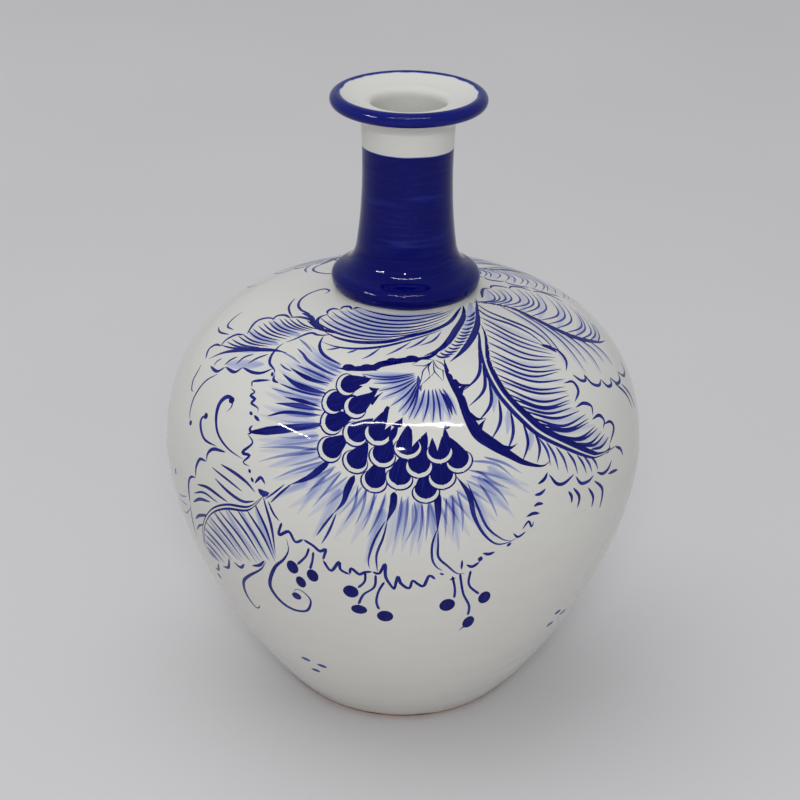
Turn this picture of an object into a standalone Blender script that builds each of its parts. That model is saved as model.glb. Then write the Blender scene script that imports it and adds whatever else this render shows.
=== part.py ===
"""Thrown and luted bottle vase: foot ring, belly, shoulder, neck and mouth lip, in metres, +Z up."""

import math

import bmesh
import bpy
import numpy as np

# Foot
FOOT_R = 0.0430  # outer radius where the foot stands
FOOT_H = 0.0040  # height of the foot ring up to the belly's underside
FOOT_WIDTH = 0.0075  # radial width of the standing face
FOOT_EDGE = 0.0006  # chamfer along both edges of the standing face

# Body, foot to shoulder
GIRTH_R = 0.0950  # widest radius
GIRTH_Z = 0.1068  # height of the widest circle
BODY_H = 0.1708  # height of the shoulder under the collar's rim
BODY_WALL = 0.0050
FLOOR_T = 0.0062  # clay left under the inside floor
BELLY_PULL = 0.0319  # upright handle of the belly curve at the girth
BELLY_HANDLE = 0.0335  # handle of the belly curve at the foot
FOOT_SLOPE = math.radians(46.7)  # lean of the wall where it leaves the foot
DOME_PULL = 0.0410  # upright handle of the shoulder curve at the girth
DOME_HANDLE = 0.0397  # handle of the shoulder curve at the collar
SHOULDER_SLOPE = math.radians(7.9)  # fall of the shoulder outward from the neck

# Neck and mouth
BORE_R = 0.0139
NECK_WALL = 0.0043
NECK_H = 0.0670  # shoulder to the underside of the mouth lip
NECK_WAIST = 0.0009  # how far the neck draws in below its top
NECK_SPREAD = 0.0011  # how far it opens again above the collar
COLLAR_SPREAD = 0.0109  # how far the collar's roll stands out from the neck
COLLAR_H = 0.0094  # thickness of the roll, from the shoulder up
LIP_SPREAD = 0.0120  # how far the lip stands out from the neck
LIP_H = 0.0119  # neck top to rim
LIP_ROLL_R = 0.0028  # radius of the rolled rim

# Luted joints
JOINT_GAP = 0.0003  # slip-filled gap left in every joint
TONGUE_H = 0.0026  # height of the tongue at the girth
FOOT_TONGUE_H = 0.0020
TENON_H = 0.0030  # neck's tenon inside the lip
SPIGOT_DEPTH = 0.0048  # neck's spigot inside the shoulder's opening
SPIGOT_STEP = 0.22  # share of the neck's wall that the spigot is turned down by
TENON_WALL = 0.47  # share of the neck's wall that runs on as the tenon
FOOT_TONGUE = (0.52, 0.86)  # inner and outer side of the foot's tongue, as shares of the ring's width
GIRTH_TONGUE = (0.32, 0.68)  # outer and inner side of the girth's tongue, as shares of the wall

# Rounds of the neck, its collar and the lip
FLARE_H = 0.0100  # height over which the shaft opens into the collar
FLARE_BEND = (0.0005, 0.0052)  # first handle of the flare: outward and down
FLARE_FOOT = (0.0023, 0.0082)  # second handle of the flare
WAIST_PLACES = (0.27, 0.65)  # where the waist's two handles lie down the shaft
WAIST_LOW = 1.4  # how much deeper the lower waist handle draws in
CREST_OUT = 0.56  # share of the collar's reach where its top rounds over
CREST_BEND = (0.0021, 0.0012)  # handle of the collar's top: outward and down
ROLL_MID = 0.54  # share of the collar's height where it is widest
ROLL_BEND = 0.0023  # upright handle of the collar's roll
ROLL_UNDER = (0.0012, 0.0002)  # handle of the collar's underside: inward and up
SEAT_IN = 0.0032  # how far the collar's seat is inside its rim
RIM_ARC = (122.0, -100.0)  # degrees that the rolled rim runs through
DISH_OUT = 0.0036  # how far the dish's floor is outside the bore
DISH_DEPTH = 0.0028  # rim down to the dish's floor
THROAT_DEPTH = 0.0072  # rim down to where the throat becomes the bore
THROAT_BEND = (0.0012, 0.0014)  # handles of the throat: outward and down
COVE_BEND = (0.0036, 0.0009)  # handle of the cove under the rim: inward and down
COVE_RISE = 0.0032  # upright handle of the cove at the neck
COVE_OUT = 0.0008  # how far that handle stands out from the neck
FLOOR_CORNER = 0.0060  # height above the floor where the inside starts to round
FLOOR_REACH = 0.0080  # how far the round runs in over the floor

SEGMENTS = 64
CURVE_STEPS = 13
SOFT_EDGE = math.radians(32.0)
ON_AXIS = 1e-6  # points this close are one point

# Sizes that follow from those above
NECK_R = BORE_R + NECK_WALL
COLLAR_R = NECK_R + COLLAR_SPREAD
LIP_R = NECK_R + LIP_SPREAD
NECK_TOP_Z = BODY_H + NECK_H
TOTAL_H = NECK_TOP_Z + LIP_H
SPIGOT_R = NECK_R - SPIGOT_STEP * NECK_WALL
OPENING_R = SPIGOT_R + JOINT_GAP

Outline = list[tuple[float, float]]


def bezier(start, pull, push, end, steps: int = CURVE_STEPS) -> Outline:
    """Points of a cubic curve through start and end, both included."""
    points = []
    for step in range(steps + 1):
        t = step / steps
        weights = ((1 - t) ** 3, 3 * t * (1 - t) ** 2, 3 * t * t * (1 - t), t**3)
        r = sum(w * p[0] for w, p in zip(weights, (start, pull, push, end)))
        z = sum(w * p[1] for w, p in zip(weights, (start, pull, push, end)))
        points.append((r, z))
    return points


def arc(centre, radius: float, start_deg: float, end_deg: float, steps: int) -> Outline:
    """Points of a round stretch, from one angle to the other."""
    angles = [math.radians(start_deg + (end_deg - start_deg) * i / steps) for i in range(steps + 1)]
    return [(centre[0] + radius * math.cos(a), centre[1] + radius * math.sin(a)) for a in angles]


def offset_inward(outer: Outline, distance: float) -> Outline:
    """The wall's inside: each point moved along its normal towards the axis side."""
    points = np.array(outer)
    along = np.gradient(points, axis=0)
    along /= np.linalg.norm(along, axis=1)[:, None]
    across = np.stack([-along[:, 1], along[:, 0]], axis=1)
    across[across[:, 0] > 0] *= -1
    return [tuple(p) for p in points + across * distance]


def shoulder_z(radius: float) -> float:
    """Height of the shoulder inside the collar's rim, where it is a shallow cone."""
    return BODY_H + (COLLAR_R - radius) * math.tan(SHOULDER_SLOPE)


def belly_curve() -> Outline:
    """Outside of the belly, girth down to the foot."""
    low_r = FOOT_R + FOOT_H / math.tan(FOOT_SLOPE)
    handle = (
        low_r + BELLY_HANDLE * math.cos(FOOT_SLOPE),
        FOOT_H + BELLY_HANDLE * math.sin(FOOT_SLOPE),
    )
    return bezier((GIRTH_R, GIRTH_Z), (GIRTH_R, GIRTH_Z - BELLY_PULL), handle, (low_r, FOOT_H))


def dome_curve() -> Outline:
    """Outside of the shoulder, girth up to the collar's rim."""
    handle = (
        COLLAR_R + DOME_HANDLE * math.cos(SHOULDER_SLOPE),
        BODY_H - DOME_HANDLE * math.sin(SHOULDER_SLOPE),
    )
    return bezier((GIRTH_R, GIRTH_Z), (GIRTH_R, GIRTH_Z + DOME_PULL), handle, (COLLAR_R, BODY_H))


def foot_ring_outline() -> Outline:
    """Ring with a tongue on top that keys into the belly's underside."""
    inner = FOOT_R - FOOT_WIDTH
    top = FOOT_H - JOINT_GAP
    top_r = FOOT_R + top / math.tan(FOOT_SLOPE)
    tongue_in = inner + FOOT_TONGUE[0] * FOOT_WIDTH
    tongue_out = inner + FOOT_TONGUE[1] * FOOT_WIDTH
    return [
        (inner, FOOT_EDGE),
        (inner + FOOT_EDGE, 0.0),
        (FOOT_R - FOOT_EDGE / 2, 0.0),
        (FOOT_R + FOOT_EDGE / 2, FOOT_EDGE),
        (top_r, top),
        (tongue_out, top),
        (tongue_out, top + FOOT_TONGUE_H),
        (tongue_in, top + FOOT_TONGUE_H),
        (tongue_in, top),
        (inner, top),
    ]


def lower_body_outline() -> Outline:
    """Bowl from the floor to the girth, with a tongue along its top edge."""
    inner = FOOT_R - FOOT_WIDTH
    groove_in = inner + FOOT_TONGUE[0] * FOOT_WIDTH - JOINT_GAP
    groove_out = inner + FOOT_TONGUE[1] * FOOT_WIDTH + JOINT_GAP
    groove_top = FOOT_H + FOOT_TONGUE_H
    floor_z = FOOT_H + FLOOR_T
    outer = belly_curve()
    inside = [p for p in offset_inward(outer, BODY_WALL) if p[1] > floor_z + FLOOR_CORNER]
    inside[0] = (GIRTH_R - BODY_WALL, GIRTH_Z)
    last_r, last_z = inside[-1]
    corner_r = last_r - (last_z - floor_z) / math.tan(FOOT_SLOPE)
    corner, floor_start = (corner_r, floor_z), (corner_r - FLOOR_REACH, floor_z)
    floor_round = bezier((last_r, last_z), corner, corner, floor_start, 4)
    tongue_out = GIRTH_R - GIRTH_TONGUE[0] * BODY_WALL
    tongue_in = GIRTH_R - GIRTH_TONGUE[1] * BODY_WALL
    top = GIRTH_Z + TONGUE_H
    return (
        [(0.0, FOOT_H), (groove_in, FOOT_H), (groove_in, groove_top)]
        + [(groove_out, groove_top), (groove_out, FOOT_H)]
        + outer[::-1]
        + [(tongue_out, GIRTH_Z), (tongue_out, top), (tongue_in, top), (tongue_in, GIRTH_Z)]
        + inside
        + floor_round[1:]
        + [(0.0, floor_z)]
    )


def upper_body_outline() -> Outline:
    """Dome from the girth to the neck's opening, with a groove along its bottom edge."""
    seam = GIRTH_Z + JOINT_GAP
    outer = dome_curve()
    inside = offset_inward(outer, BODY_WALL)
    inside[0] = (GIRTH_R - BODY_WALL, seam)
    outer[0] = (GIRTH_R, seam)
    groove_out = GIRTH_R - GIRTH_TONGUE[0] * BODY_WALL + JOINT_GAP
    groove_in = GIRTH_R - GIRTH_TONGUE[1] * BODY_WALL - JOINT_GAP
    groove_top = GIRTH_Z + TONGUE_H + JOINT_GAP
    under_opening = shoulder_z(OPENING_R) - BODY_WALL / math.cos(SHOULDER_SLOPE)
    return (
        outer
        + [(OPENING_R, shoulder_z(OPENING_R)), (OPENING_R, under_opening)]
        + inside[::-1]
        + [(groove_in, seam), (groove_in, groove_top), (groove_out, groove_top), (groove_out, seam)]
    )


def neck_outline() -> Outline:
    """Tube with a tenon on top, a rolled collar below and a spigot under the collar."""
    tenon_r = BORE_R + TENON_WALL * NECK_WALL
    low_r = NECK_R + NECK_SPREAD
    crest_z = BODY_H + COLLAR_H
    flare_z = crest_z + FLARE_H
    shaft_h = NECK_TOP_Z - flare_z
    crest_r = low_r + CREST_OUT * (COLLAR_R - low_r)
    roll_z = BODY_H + ROLL_MID * COLLAR_H
    seat_r = COLLAR_R - SEAT_IN
    seat_z = shoulder_z(seat_r) + JOINT_GAP
    shaft = bezier(
        (NECK_R, NECK_TOP_Z),
        (NECK_R - NECK_WAIST, NECK_TOP_Z - WAIST_PLACES[0] * shaft_h),
        (NECK_R - WAIST_LOW * NECK_WAIST, NECK_TOP_Z - WAIST_PLACES[1] * shaft_h),
        (low_r, flare_z),
        9,
    )
    flare = bezier(
        (low_r, flare_z),
        (low_r + FLARE_BEND[0], flare_z - FLARE_BEND[1]),
        (low_r + FLARE_FOOT[0], flare_z - FLARE_FOOT[1]),
        (crest_r, crest_z),
        5,
    )
    crest = bezier(
        (crest_r, crest_z),
        (crest_r + CREST_BEND[0], crest_z - CREST_BEND[1]),
        (COLLAR_R, roll_z + ROLL_BEND),
        (COLLAR_R, roll_z),
        5,
    )
    underside = bezier(
        (COLLAR_R, roll_z),
        (COLLAR_R, roll_z - ROLL_BEND),
        (COLLAR_R - ROLL_UNDER[0], seat_z + ROLL_UNDER[1]),
        (seat_r, seat_z),
        4,
    )
    spigot_low = shoulder_z(OPENING_R) - SPIGOT_DEPTH
    return (
        [(BORE_R, spigot_low), (BORE_R, NECK_TOP_Z + TENON_H), (tenon_r, NECK_TOP_Z + TENON_H)]
        + [(tenon_r, NECK_TOP_Z)]
        + shaft
        + flare[1:]
        + crest[1:]
        + underside[1:]
        + [(SPIGOT_R, shoulder_z(SPIGOT_R) + JOINT_GAP), (SPIGOT_R, spigot_low)]
    )


def mouth_lip_outline() -> Outline:
    """Shallow dished flange with a rolled rim, rebated over the neck's tenon."""
    seam = NECK_TOP_Z + JOINT_GAP
    rebate_r = BORE_R + TENON_WALL * NECK_WALL + JOINT_GAP
    rebate_z = NECK_TOP_Z + TENON_H + JOINT_GAP
    roll = (LIP_R - LIP_ROLL_R, TOTAL_H - LIP_ROLL_R)
    rim = arc(roll, LIP_ROLL_R, *RIM_ARC, 11)
    dish_r = BORE_R + DISH_OUT
    dish_z = TOTAL_H - DISH_DEPTH
    throat_z = TOTAL_H - THROAT_DEPTH
    throat = bezier(
        (BORE_R, throat_z),
        (BORE_R, dish_z - THROAT_BEND[1]),
        (BORE_R + THROAT_BEND[0], dish_z - THROAT_BEND[1] / 4),
        (dish_r, dish_z),
        4,
    )
    low_r, low_z = rim[-1]
    cove = bezier(
        (low_r, low_z),
        (low_r - COVE_BEND[0], low_z - COVE_BEND[1]),
        (NECK_R + COVE_OUT, seam + COVE_RISE),
        (NECK_R, seam),
        5,
    )
    return [(BORE_R, rebate_z)] + throat + rim + cove[1:] + [(rebate_r, seam), (rebate_r, rebate_z)]


def glaze(name: str, colour: tuple[float, float, float], roughness: float) -> bpy.types.Material:
    """A fired surface: colour and gloss only."""
    material = bpy.data.materials.new(name)
    material.use_nodes = True
    shader = material.node_tree.nodes["Principled BSDF"]
    shader.inputs["Base Color"].default_value = (*colour, 1.0)
    shader.inputs["Roughness"].default_value = roughness
    shader.inputs["Metallic"].default_value = 0.0
    return material


def revolve(name: str, outline: Outline, material: bpy.types.Material) -> bpy.types.Object:
    """Spins a closed outline of (radius, height) points round the Z axis into one body."""
    shape = bmesh.new()
    points = [shape.verts.new((radius, 0.0, height)) for radius, height in outline]
    closed = zip(points, points[1:] + points[:1])
    edges = [shape.edges.new(pair) for pair in closed if max(pair[0].co.x, pair[1].co.x) > ON_AXIS]
    bmesh.ops.spin(
        shape,
        geom=points + edges,
        cent=(0.0, 0.0, 0.0),
        axis=(0.0, 0.0, 1.0),
        angle=2.0 * math.pi,
        steps=SEGMENTS,
        use_merge=True,
    )
    bmesh.ops.remove_doubles(shape, verts=shape.verts, dist=ON_AXIS)
    bmesh.ops.recalc_face_normals(shape, faces=shape.faces)
    mesh = bpy.data.meshes.new(name)
    shape.to_mesh(mesh)
    shape.free()
    mesh.materials.append(material)
    mesh.shade_smooth()
    mesh.set_sharp_from_angle(angle=SOFT_EDGE)
    body = bpy.data.objects.new(name, mesh)
    bpy.context.scene.collection.objects.link(body)
    return body


def main() -> None:
    """Clears the scene and builds the five pieces."""
    for old in list(bpy.data.objects):
        bpy.data.objects.remove(old)
    revolve("foot_ring", foot_ring_outline(), glaze("bare_clay", (0.33, 0.16, 0.09), 0.85))
    revolve("lower_body", lower_body_outline(), glaze("belly_glaze", (0.74, 0.73, 0.69), 0.14))
    revolve("upper_body", upper_body_outline(), glaze("shoulder_glaze", (0.74, 0.73, 0.69), 0.14))
    revolve("neck", neck_outline(), glaze("neck_glaze", (0.012, 0.018, 0.16), 0.10))
    revolve("mouth_lip", mouth_lip_outline(), glaze("lip_glaze", (0.74, 0.73, 0.69), 0.12))


main()
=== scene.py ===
"""Hand-thrown bottle vase: five luted clay pieces, tin-white glaze and brushed cobalt decoration."""

import logging
import math
import random
from dataclasses import dataclass
from enum import Enum

import bpy
import numpy as np
from mathutils import Matrix, Vector
from mathutils.geometry import delaunay_2d_cdt


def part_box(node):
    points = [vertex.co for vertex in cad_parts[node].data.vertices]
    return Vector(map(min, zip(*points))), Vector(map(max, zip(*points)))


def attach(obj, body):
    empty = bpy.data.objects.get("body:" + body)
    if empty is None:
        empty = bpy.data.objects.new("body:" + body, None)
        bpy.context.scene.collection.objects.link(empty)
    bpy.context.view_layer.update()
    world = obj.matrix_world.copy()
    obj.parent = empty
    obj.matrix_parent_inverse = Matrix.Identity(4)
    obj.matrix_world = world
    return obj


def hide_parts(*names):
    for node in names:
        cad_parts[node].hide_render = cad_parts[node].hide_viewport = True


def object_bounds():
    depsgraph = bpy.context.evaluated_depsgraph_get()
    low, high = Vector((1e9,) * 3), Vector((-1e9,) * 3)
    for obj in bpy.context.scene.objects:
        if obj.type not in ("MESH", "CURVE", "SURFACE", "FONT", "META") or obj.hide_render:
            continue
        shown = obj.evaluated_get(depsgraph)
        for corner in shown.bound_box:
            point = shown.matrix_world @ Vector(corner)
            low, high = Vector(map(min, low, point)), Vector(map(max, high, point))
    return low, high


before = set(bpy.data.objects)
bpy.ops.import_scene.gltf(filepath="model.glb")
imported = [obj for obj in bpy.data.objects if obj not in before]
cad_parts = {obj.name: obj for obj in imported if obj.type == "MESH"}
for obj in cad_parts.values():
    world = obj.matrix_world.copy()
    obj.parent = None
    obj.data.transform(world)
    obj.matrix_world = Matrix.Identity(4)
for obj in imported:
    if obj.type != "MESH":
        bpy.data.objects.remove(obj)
CAD_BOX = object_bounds()

log = logging.getLogger("vase")

MM = 0.001
ROOT = "root"
BAKE_MAP = "OFBake"

# Places on the bake map: two strips for the painted skin and one for the inside, or the whole map
BACK_STRIP_FROM = 0.015
FRONT_STRIP_FROM = 0.415
STRIP_HEIGHT = 0.385
STRIP_SIDE_GAP = 0.004
INSIDE_STRIP = (0.815, 0.995)
WHOLE_MAP = (0.01, 0.99)

SHARP_DEG = 38.0  # edges sharper than this are shaded as edges

Point = tuple[float, float]
Colour = tuple[float, float, float]


# --------------------------------------------------------------------------- shape of the pot


def bezier(points: list[Point], steps: int) -> np.ndarray:
    """Points along a cubic curve.

    Args:
        points: start, two handles and end, as (radius, height).
        steps: number of spans.

    Returns:
        Array of steps + 1 rows of (radius, height).
    """
    t = np.linspace(0.0, 1.0, steps + 1)[:, None]
    start, pull, push, end = (np.array(p, float) for p in points)
    return (1 - t) ** 3 * start + 3 * t * (1 - t) ** 2 * pull + 3 * t * t * (1 - t) * push + t**3 * end


def arc(centre: Point, radius: float, first: float, last: float, steps: int) -> np.ndarray:
    """Points of a round stretch.

    Args:
        centre: centre as (radius, height).
        radius: radius of the round.
        first: starting angle in degrees.
        last: ending angle in degrees.
        steps: number of spans.

    Returns:
        Array of steps + 1 rows of (radius, height).
    """
    angle = np.radians(np.linspace(first, last, steps + 1))
    return np.stack([centre[0] + radius * np.cos(angle), centre[1] + radius * np.sin(angle)], axis=1)


@dataclass
class PotShape:
    """Outside sizes of the pot in millimetres; the overall ones are read from the frame."""

    girth_r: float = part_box("upper_body")[1].x / MM
    girth_z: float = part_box("upper_body")[0].z / MM
    total_h: float = CAD_BOX[1][2] / MM
    lip_r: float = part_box("mouth_lip")[1].x / MM
    collar_r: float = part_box("neck")[1].x / MM
    foot_r: float = 43.0
    foot_inner_r: float = 35.5
    foot_top: float = 4.0
    shoulder_z: float = 170.8
    neck_top_z: float = 237.8
    neck_r: float = 18.2
    bore_r: float = 13.9
    wall: float = 5.0
    floor_z: float = 10.2
    belly_pull: float = 31.9
    belly_handle: float = 33.5
    foot_slope: float = math.radians(46.7)
    dome_pull: float = 41.0
    dome_handle: float = 39.7
    shoulder_slope: float = math.radians(7.9)
    lip_roll_r: float = 2.8

    def belly(self, steps: int) -> np.ndarray:
        """Outside of the lower half, from the girth down to the foot.

        Args:
            steps: number of spans.

        Returns:
            Rows of (radius, height) in millimetres.
        """
        low_r = self.foot_r + self.foot_top / math.tan(self.foot_slope)
        handle = (
            low_r + self.belly_handle * math.cos(self.foot_slope),
            self.foot_top + self.belly_handle * math.sin(self.foot_slope),
        )
        girth = (self.girth_r, self.girth_z)
        return bezier([girth, (self.girth_r, self.girth_z - self.belly_pull), handle, (low_r, self.foot_top)],
                      steps)

    def dome(self, steps: int) -> np.ndarray:
        """Outside of the upper half, from the girth up to the collar.

        Args:
            steps: number of spans.

        Returns:
            Rows of (radius, height) in millimetres.
        """
        handle = (
            self.collar_r + self.dome_handle * math.cos(self.shoulder_slope),
            self.shoulder_z - self.dome_handle * math.sin(self.shoulder_slope),
        )
        girth = (self.girth_r, self.girth_z)
        top = (self.collar_r, self.shoulder_z)
        return bezier([girth, (self.girth_r, self.girth_z + self.dome_pull), handle, top], steps)


def thrown_by_hand(points: np.ndarray) -> np.ndarray:
    """Slight lean and ovality of a pot thrown on a wheel, the same for every piece.

    Args:
        points: rows of (x, y, z) in metres.

    Returns:
        The moved rows.
    """
    lean_at_foot, lean_height = 0.0007, 0.060
    oval, oval_phase, oval_twist = 0.0022, 0.6, 14.0
    moved = points.copy()
    low = np.clip(1.0 - points[:, 2] / lean_height, 0.0, 1.0)
    angle = np.arctan2(points[:, 1], points[:, 0])
    swell = 1.0 + oval * np.cos(2.0 * angle + oval_phase + points[:, 2] * oval_twist)
    moved[:, 0] = points[:, 0] * swell + lean_at_foot * low * low * (3.0 - 2.0 * low)
    moved[:, 1] = points[:, 1] * swell
    return moved


class GlazedSurface:
    """The painted outside of the belly.

    A place on it is given in degrees around from the front and millimetres up from the girth along the wall.
    """

    STEPS = 1500

    def __init__(self, shape: PotShape) -> None:
        """Measures the wall's arc length.

        Args:
            shape: sizes of the pot.
        """
        self.shape = shape
        low, high = shape.belly(self.STEPS)[::-1], shape.dome(self.STEPS)
        line = np.concatenate([low, high[1:]])
        length = np.concatenate([[0.0], np.cumsum(np.hypot(*np.diff(line, axis=0).T))])
        self.rise = length - length[self.STEPS]
        self.radius, self.height = line[:, 0], line[:, 1]
        slope = np.gradient(line, axis=0)
        slope /= np.linalg.norm(slope, axis=1)[:, None]
        self.out_r, self.out_z = slope[:, 1], -slope[:, 0]

    @property
    def lowest(self) -> float:
        """Arc length at the foot, below zero."""
        return float(self.rise[0])

    @property
    def highest(self) -> float:
        """Arc length at the collar."""
        return float(self.rise[-1])

    def squeeze(self, rise: np.ndarray | float) -> np.ndarray | float:
        """How much shorter a degree is than at the girth.

        Args:
            rise: millimetres up from the girth.

        Returns:
            The share, 1 at the girth.
        """
        return np.interp(rise, self.rise, self.radius) / self.shape.girth_r

    def places(self, flat: np.ndarray) -> tuple[np.ndarray, np.ndarray]:
        """Turns flat paint coordinates into the pot's surface.

        Args:
            flat: rows of (girth millimetres around, millimetres up).

        Returns:
            Points in metres and outward normals.
        """
        angle = flat[:, 0] / self.shape.girth_r
        radius = np.interp(flat[:, 1], self.rise, self.radius)
        height = np.interp(flat[:, 1], self.rise, self.height)
        out_r = np.interp(flat[:, 1], self.rise, self.out_r)
        out_z = np.interp(flat[:, 1], self.rise, self.out_z)
        points = np.stack([radius * np.sin(angle), -radius * np.cos(angle), height], axis=1) * MM
        normals = np.stack([out_r * np.sin(angle), -out_r * np.cos(angle), out_z], axis=1)
        return points, normals / np.linalg.norm(normals, axis=1)[:, None]


# --------------------------------------------------------------------------- brushwork


class Tip(Enum):
    """How a brush stroke starts and ends."""

    POINTED = "thin at both ends"
    TAIL = "full at the start, drawn out at the end"
    HEAD = "fine at the start, pressed at the end"
    EVEN = "the same width all along"
    ROUND = "an oval dab"
    DROP = "a fine tail swelling to a round head"

    def press(self, t: np.ndarray) -> np.ndarray:
        """Share of the full width along the stroke.

        Args:
            t: places along the stroke, from 0 to 1.

        Returns:
            Shares from a little above 0 to 1.
        """
        if self is Tip.POINTED:
            share = np.sin(np.pi * t) ** 0.55
        elif self is Tip.TAIL:
            share = np.minimum(np.sqrt(np.clip(t / 0.10, 0, 1)), (1.0 - t) ** 0.6 * 1.08)
        elif self is Tip.HEAD:
            share = np.minimum(t**0.6 * 1.08, np.sqrt(np.clip((1.0 - t) / 0.10, 0, 1)))
        elif self is Tip.EVEN:
            share = np.sqrt(np.clip(np.minimum(t, 1.0 - t) / 0.05, 0, 1))
        elif self is Tip.ROUND:
            share = np.sqrt(np.clip(1.0 - (2.0 * t - 1.0) ** 2, 0, 1))
        else:
            body = np.clip(t / 0.66, 0, 1) ** 0.75
            nose = np.sqrt(np.clip(1.0 - ((t - 0.66) / 0.34) ** 2, 0, 1))
            share = np.where(t < 0.66, body, nose)
        return np.clip(share, 0.06, 1.0)


@dataclass
class Stroke:
    """One pull of the brush on the pot."""

    path: list[Point]  # (degrees around from the front, millimetres up from the girth)
    width: float | tuple[float, ...] = 1.0
    load: float = 0.9
    tip: Tip = Tip.POINTED
    fade: float = 0.15  # how much of the load is gone by the end
    soft: float = 0.0  # how much thinner the colour is along the edges
    wipes: bool = False  # leaves bare glaze instead of colour

    STEP_MM = 1.1
    LEAST_STEPS, MOST_STEPS = 3, 16
    FEW_POINTS, ROUND_POINTS = 15, 17  # a short stroke with a round end gets more points, closer at the ends

    def line(self, surface: GlazedSurface) -> tuple[np.ndarray, np.ndarray, np.ndarray]:
        """Smooth centre line of the stroke.

        Args:
            surface: the painted wall.

        Returns:
            Flat points, shares of the length from 0 to 1, and half widths in millimetres.
        """
        scale = math.radians(1.0) * surface.shape.girth_r
        knots = np.array([(u * scale, v) for u, v in self.path], float)
        padded = np.concatenate([[2 * knots[0] - knots[1]], knots, [2 * knots[-1] - knots[-2]]])
        widths = np.atleast_1d(np.array(self.width, float)) * (1.0 if self.wipes else PRESSURE)
        if len(widths) == 1:
            widths = np.repeat(widths, 2)
        points: list[np.ndarray] = []
        for i in range(1, len(padded) - 2):
            a, b, c, d = padded[i - 1 : i + 3]
            span = math.hypot((c - b)[0] * surface.squeeze(b[1]), (c - b)[1])
            count = int(min(self.MOST_STEPS, max(self.LEAST_STEPS, math.ceil(span / self.STEP_MM))))
            square, cube = 2 * a - 5 * b + 4 * c - d, 3 * b - a - 3 * c + d
            for t in np.arange(count) / count:
                points.append(0.5 * (2 * b + (c - a) * t + square * t**2 + cube * t**3))
        points.append(padded[-2])
        flat = np.array(points)
        if len(flat) < self.FEW_POINTS and self.tip in (Tip.ROUND, Tip.DROP, Tip.HEAD, Tip.TAIL):
            old = np.linspace(0, 1, len(flat))
            new = 0.5 - 0.5 * np.cos(np.linspace(0, np.pi, self.ROUND_POINTS))
            flat = np.stack([np.interp(new, old, flat[:, k]) for k in range(2)], axis=1)
        step = np.diff(flat, axis=0)
        step[:, 0] *= surface.squeeze(flat[:-1, 1])
        share = np.concatenate([[0.0], np.cumsum(np.hypot(*step.T))])
        share /= share[-1]
        full = np.interp(share, np.linspace(0, 1, len(widths)), widths)
        return flat, share, 0.5 * full * self.tip.press(share)


def mixed(a: Point, b: Point, t: float) -> Point:
    """The point part of the way between two others.

    Args:
        a: first point.
        b: second point.
        t: share of the way from a to b.

    Returns:
        The point.
    """
    return (a[0] + (b[0] - a[0]) * t, a[1] + (b[1] - a[1]) * t)


def along(path: list[Point], t: float) -> Point:
    """The point part of the way along a run of straight spans.

    Args:
        path: points of the run.
        t: share of the run's spans.

    Returns:
        The point.
    """
    place = t * (len(path) - 1)
    i = min(int(place), len(path) - 2)
    return mixed(path[i], path[i + 1], place - i)


class Brush:
    """Collects strokes in the order they are painted, with a little unevenness of hand."""

    MM_PER_DEG = 1.66  # around the girth

    def __init__(self, seed: int) -> None:
        """Starts with a clean pot.

        Args:
            seed: fixes the unevenness.
        """
        self.hand = random.Random(seed)
        self.strokes: list[Stroke] = []

    def pull(self, *path: Point, width: float | tuple[float, ...] = 1.0, load: float = 0.9,
             **how: object) -> None:
        """Paints one stroke.

        Args:
            path: points it goes through.
            width: one width, or several spread along it, in millimetres.
            load: how dark it starts.
            how: tip, fade, softness, or that it wipes.
        """
        self.strokes.append(Stroke(list(path), width, load, **how))

    def fan(self, starts: list[Point], ends: list[Point], count: int, bow: float, **how: object) -> None:
        """Paints side-by-side strokes from one run of points to another.

        Args:
            starts: where the strokes start, as a run of points.
            ends: where they end.
            count: number of strokes.
            bow: sideways bend as a share of each stroke's length.
            how: width, load, tip and fade of each stroke.
        """
        for i in range(count):
            t = (i + 0.5 * self.hand.uniform(-0.3, 0.3)) / max(1, count - 1)
            t = min(1.0, max(0.0, t))
            a, b = along(starts, t), along(ends, t)
            short = self.hand.uniform(0.93, 1.04)
            b = mixed(a, b, short)
            bend = bow * self.hand.uniform(0.8, 1.2)
            side = (-(b[1] - a[1]) * bend / self.MM_PER_DEG, (b[0] - a[0]) * self.MM_PER_DEG * bend)
            middle = mixed(a, b, 0.5)
            self.pull(a, (middle[0] + side[0], middle[1] + side[1]), b, **how)

    def dab(self, centre: Point, half_u: float, half_v: float, load: float = 0.95, **how: object) -> None:
        """Presses the brush once.

        Args:
            centre: middle of the dab.
            half_u: half width around the pot, in millimetres.
            half_v: half height up the pot, in millimetres.
            load: how dark it is.
            how: fade and softness.
        """
        top = (centre[0] + self.hand.uniform(-0.25, 0.25), centre[1] + half_v)
        low = (centre[0] + self.hand.uniform(-0.25, 0.25), centre[1] - half_v)
        self.pull(top, centre, low, width=2.0 * half_u, load=load, tip=Tip.ROUND, **how)


# Loads of the brush
DARK = 1.0
FIRM = 0.88
MIDDLE = 0.72
THIN = 0.48
WASH = 0.26
FAINT = 0.14

PRESSURE = 1.05  # how much wider every stroke comes out under a firm hand

# Widths of the brush in millimetres
HAIR = 0.75
FINE = 0.95
NORMAL = 1.35
BROAD = 2.1


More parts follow.
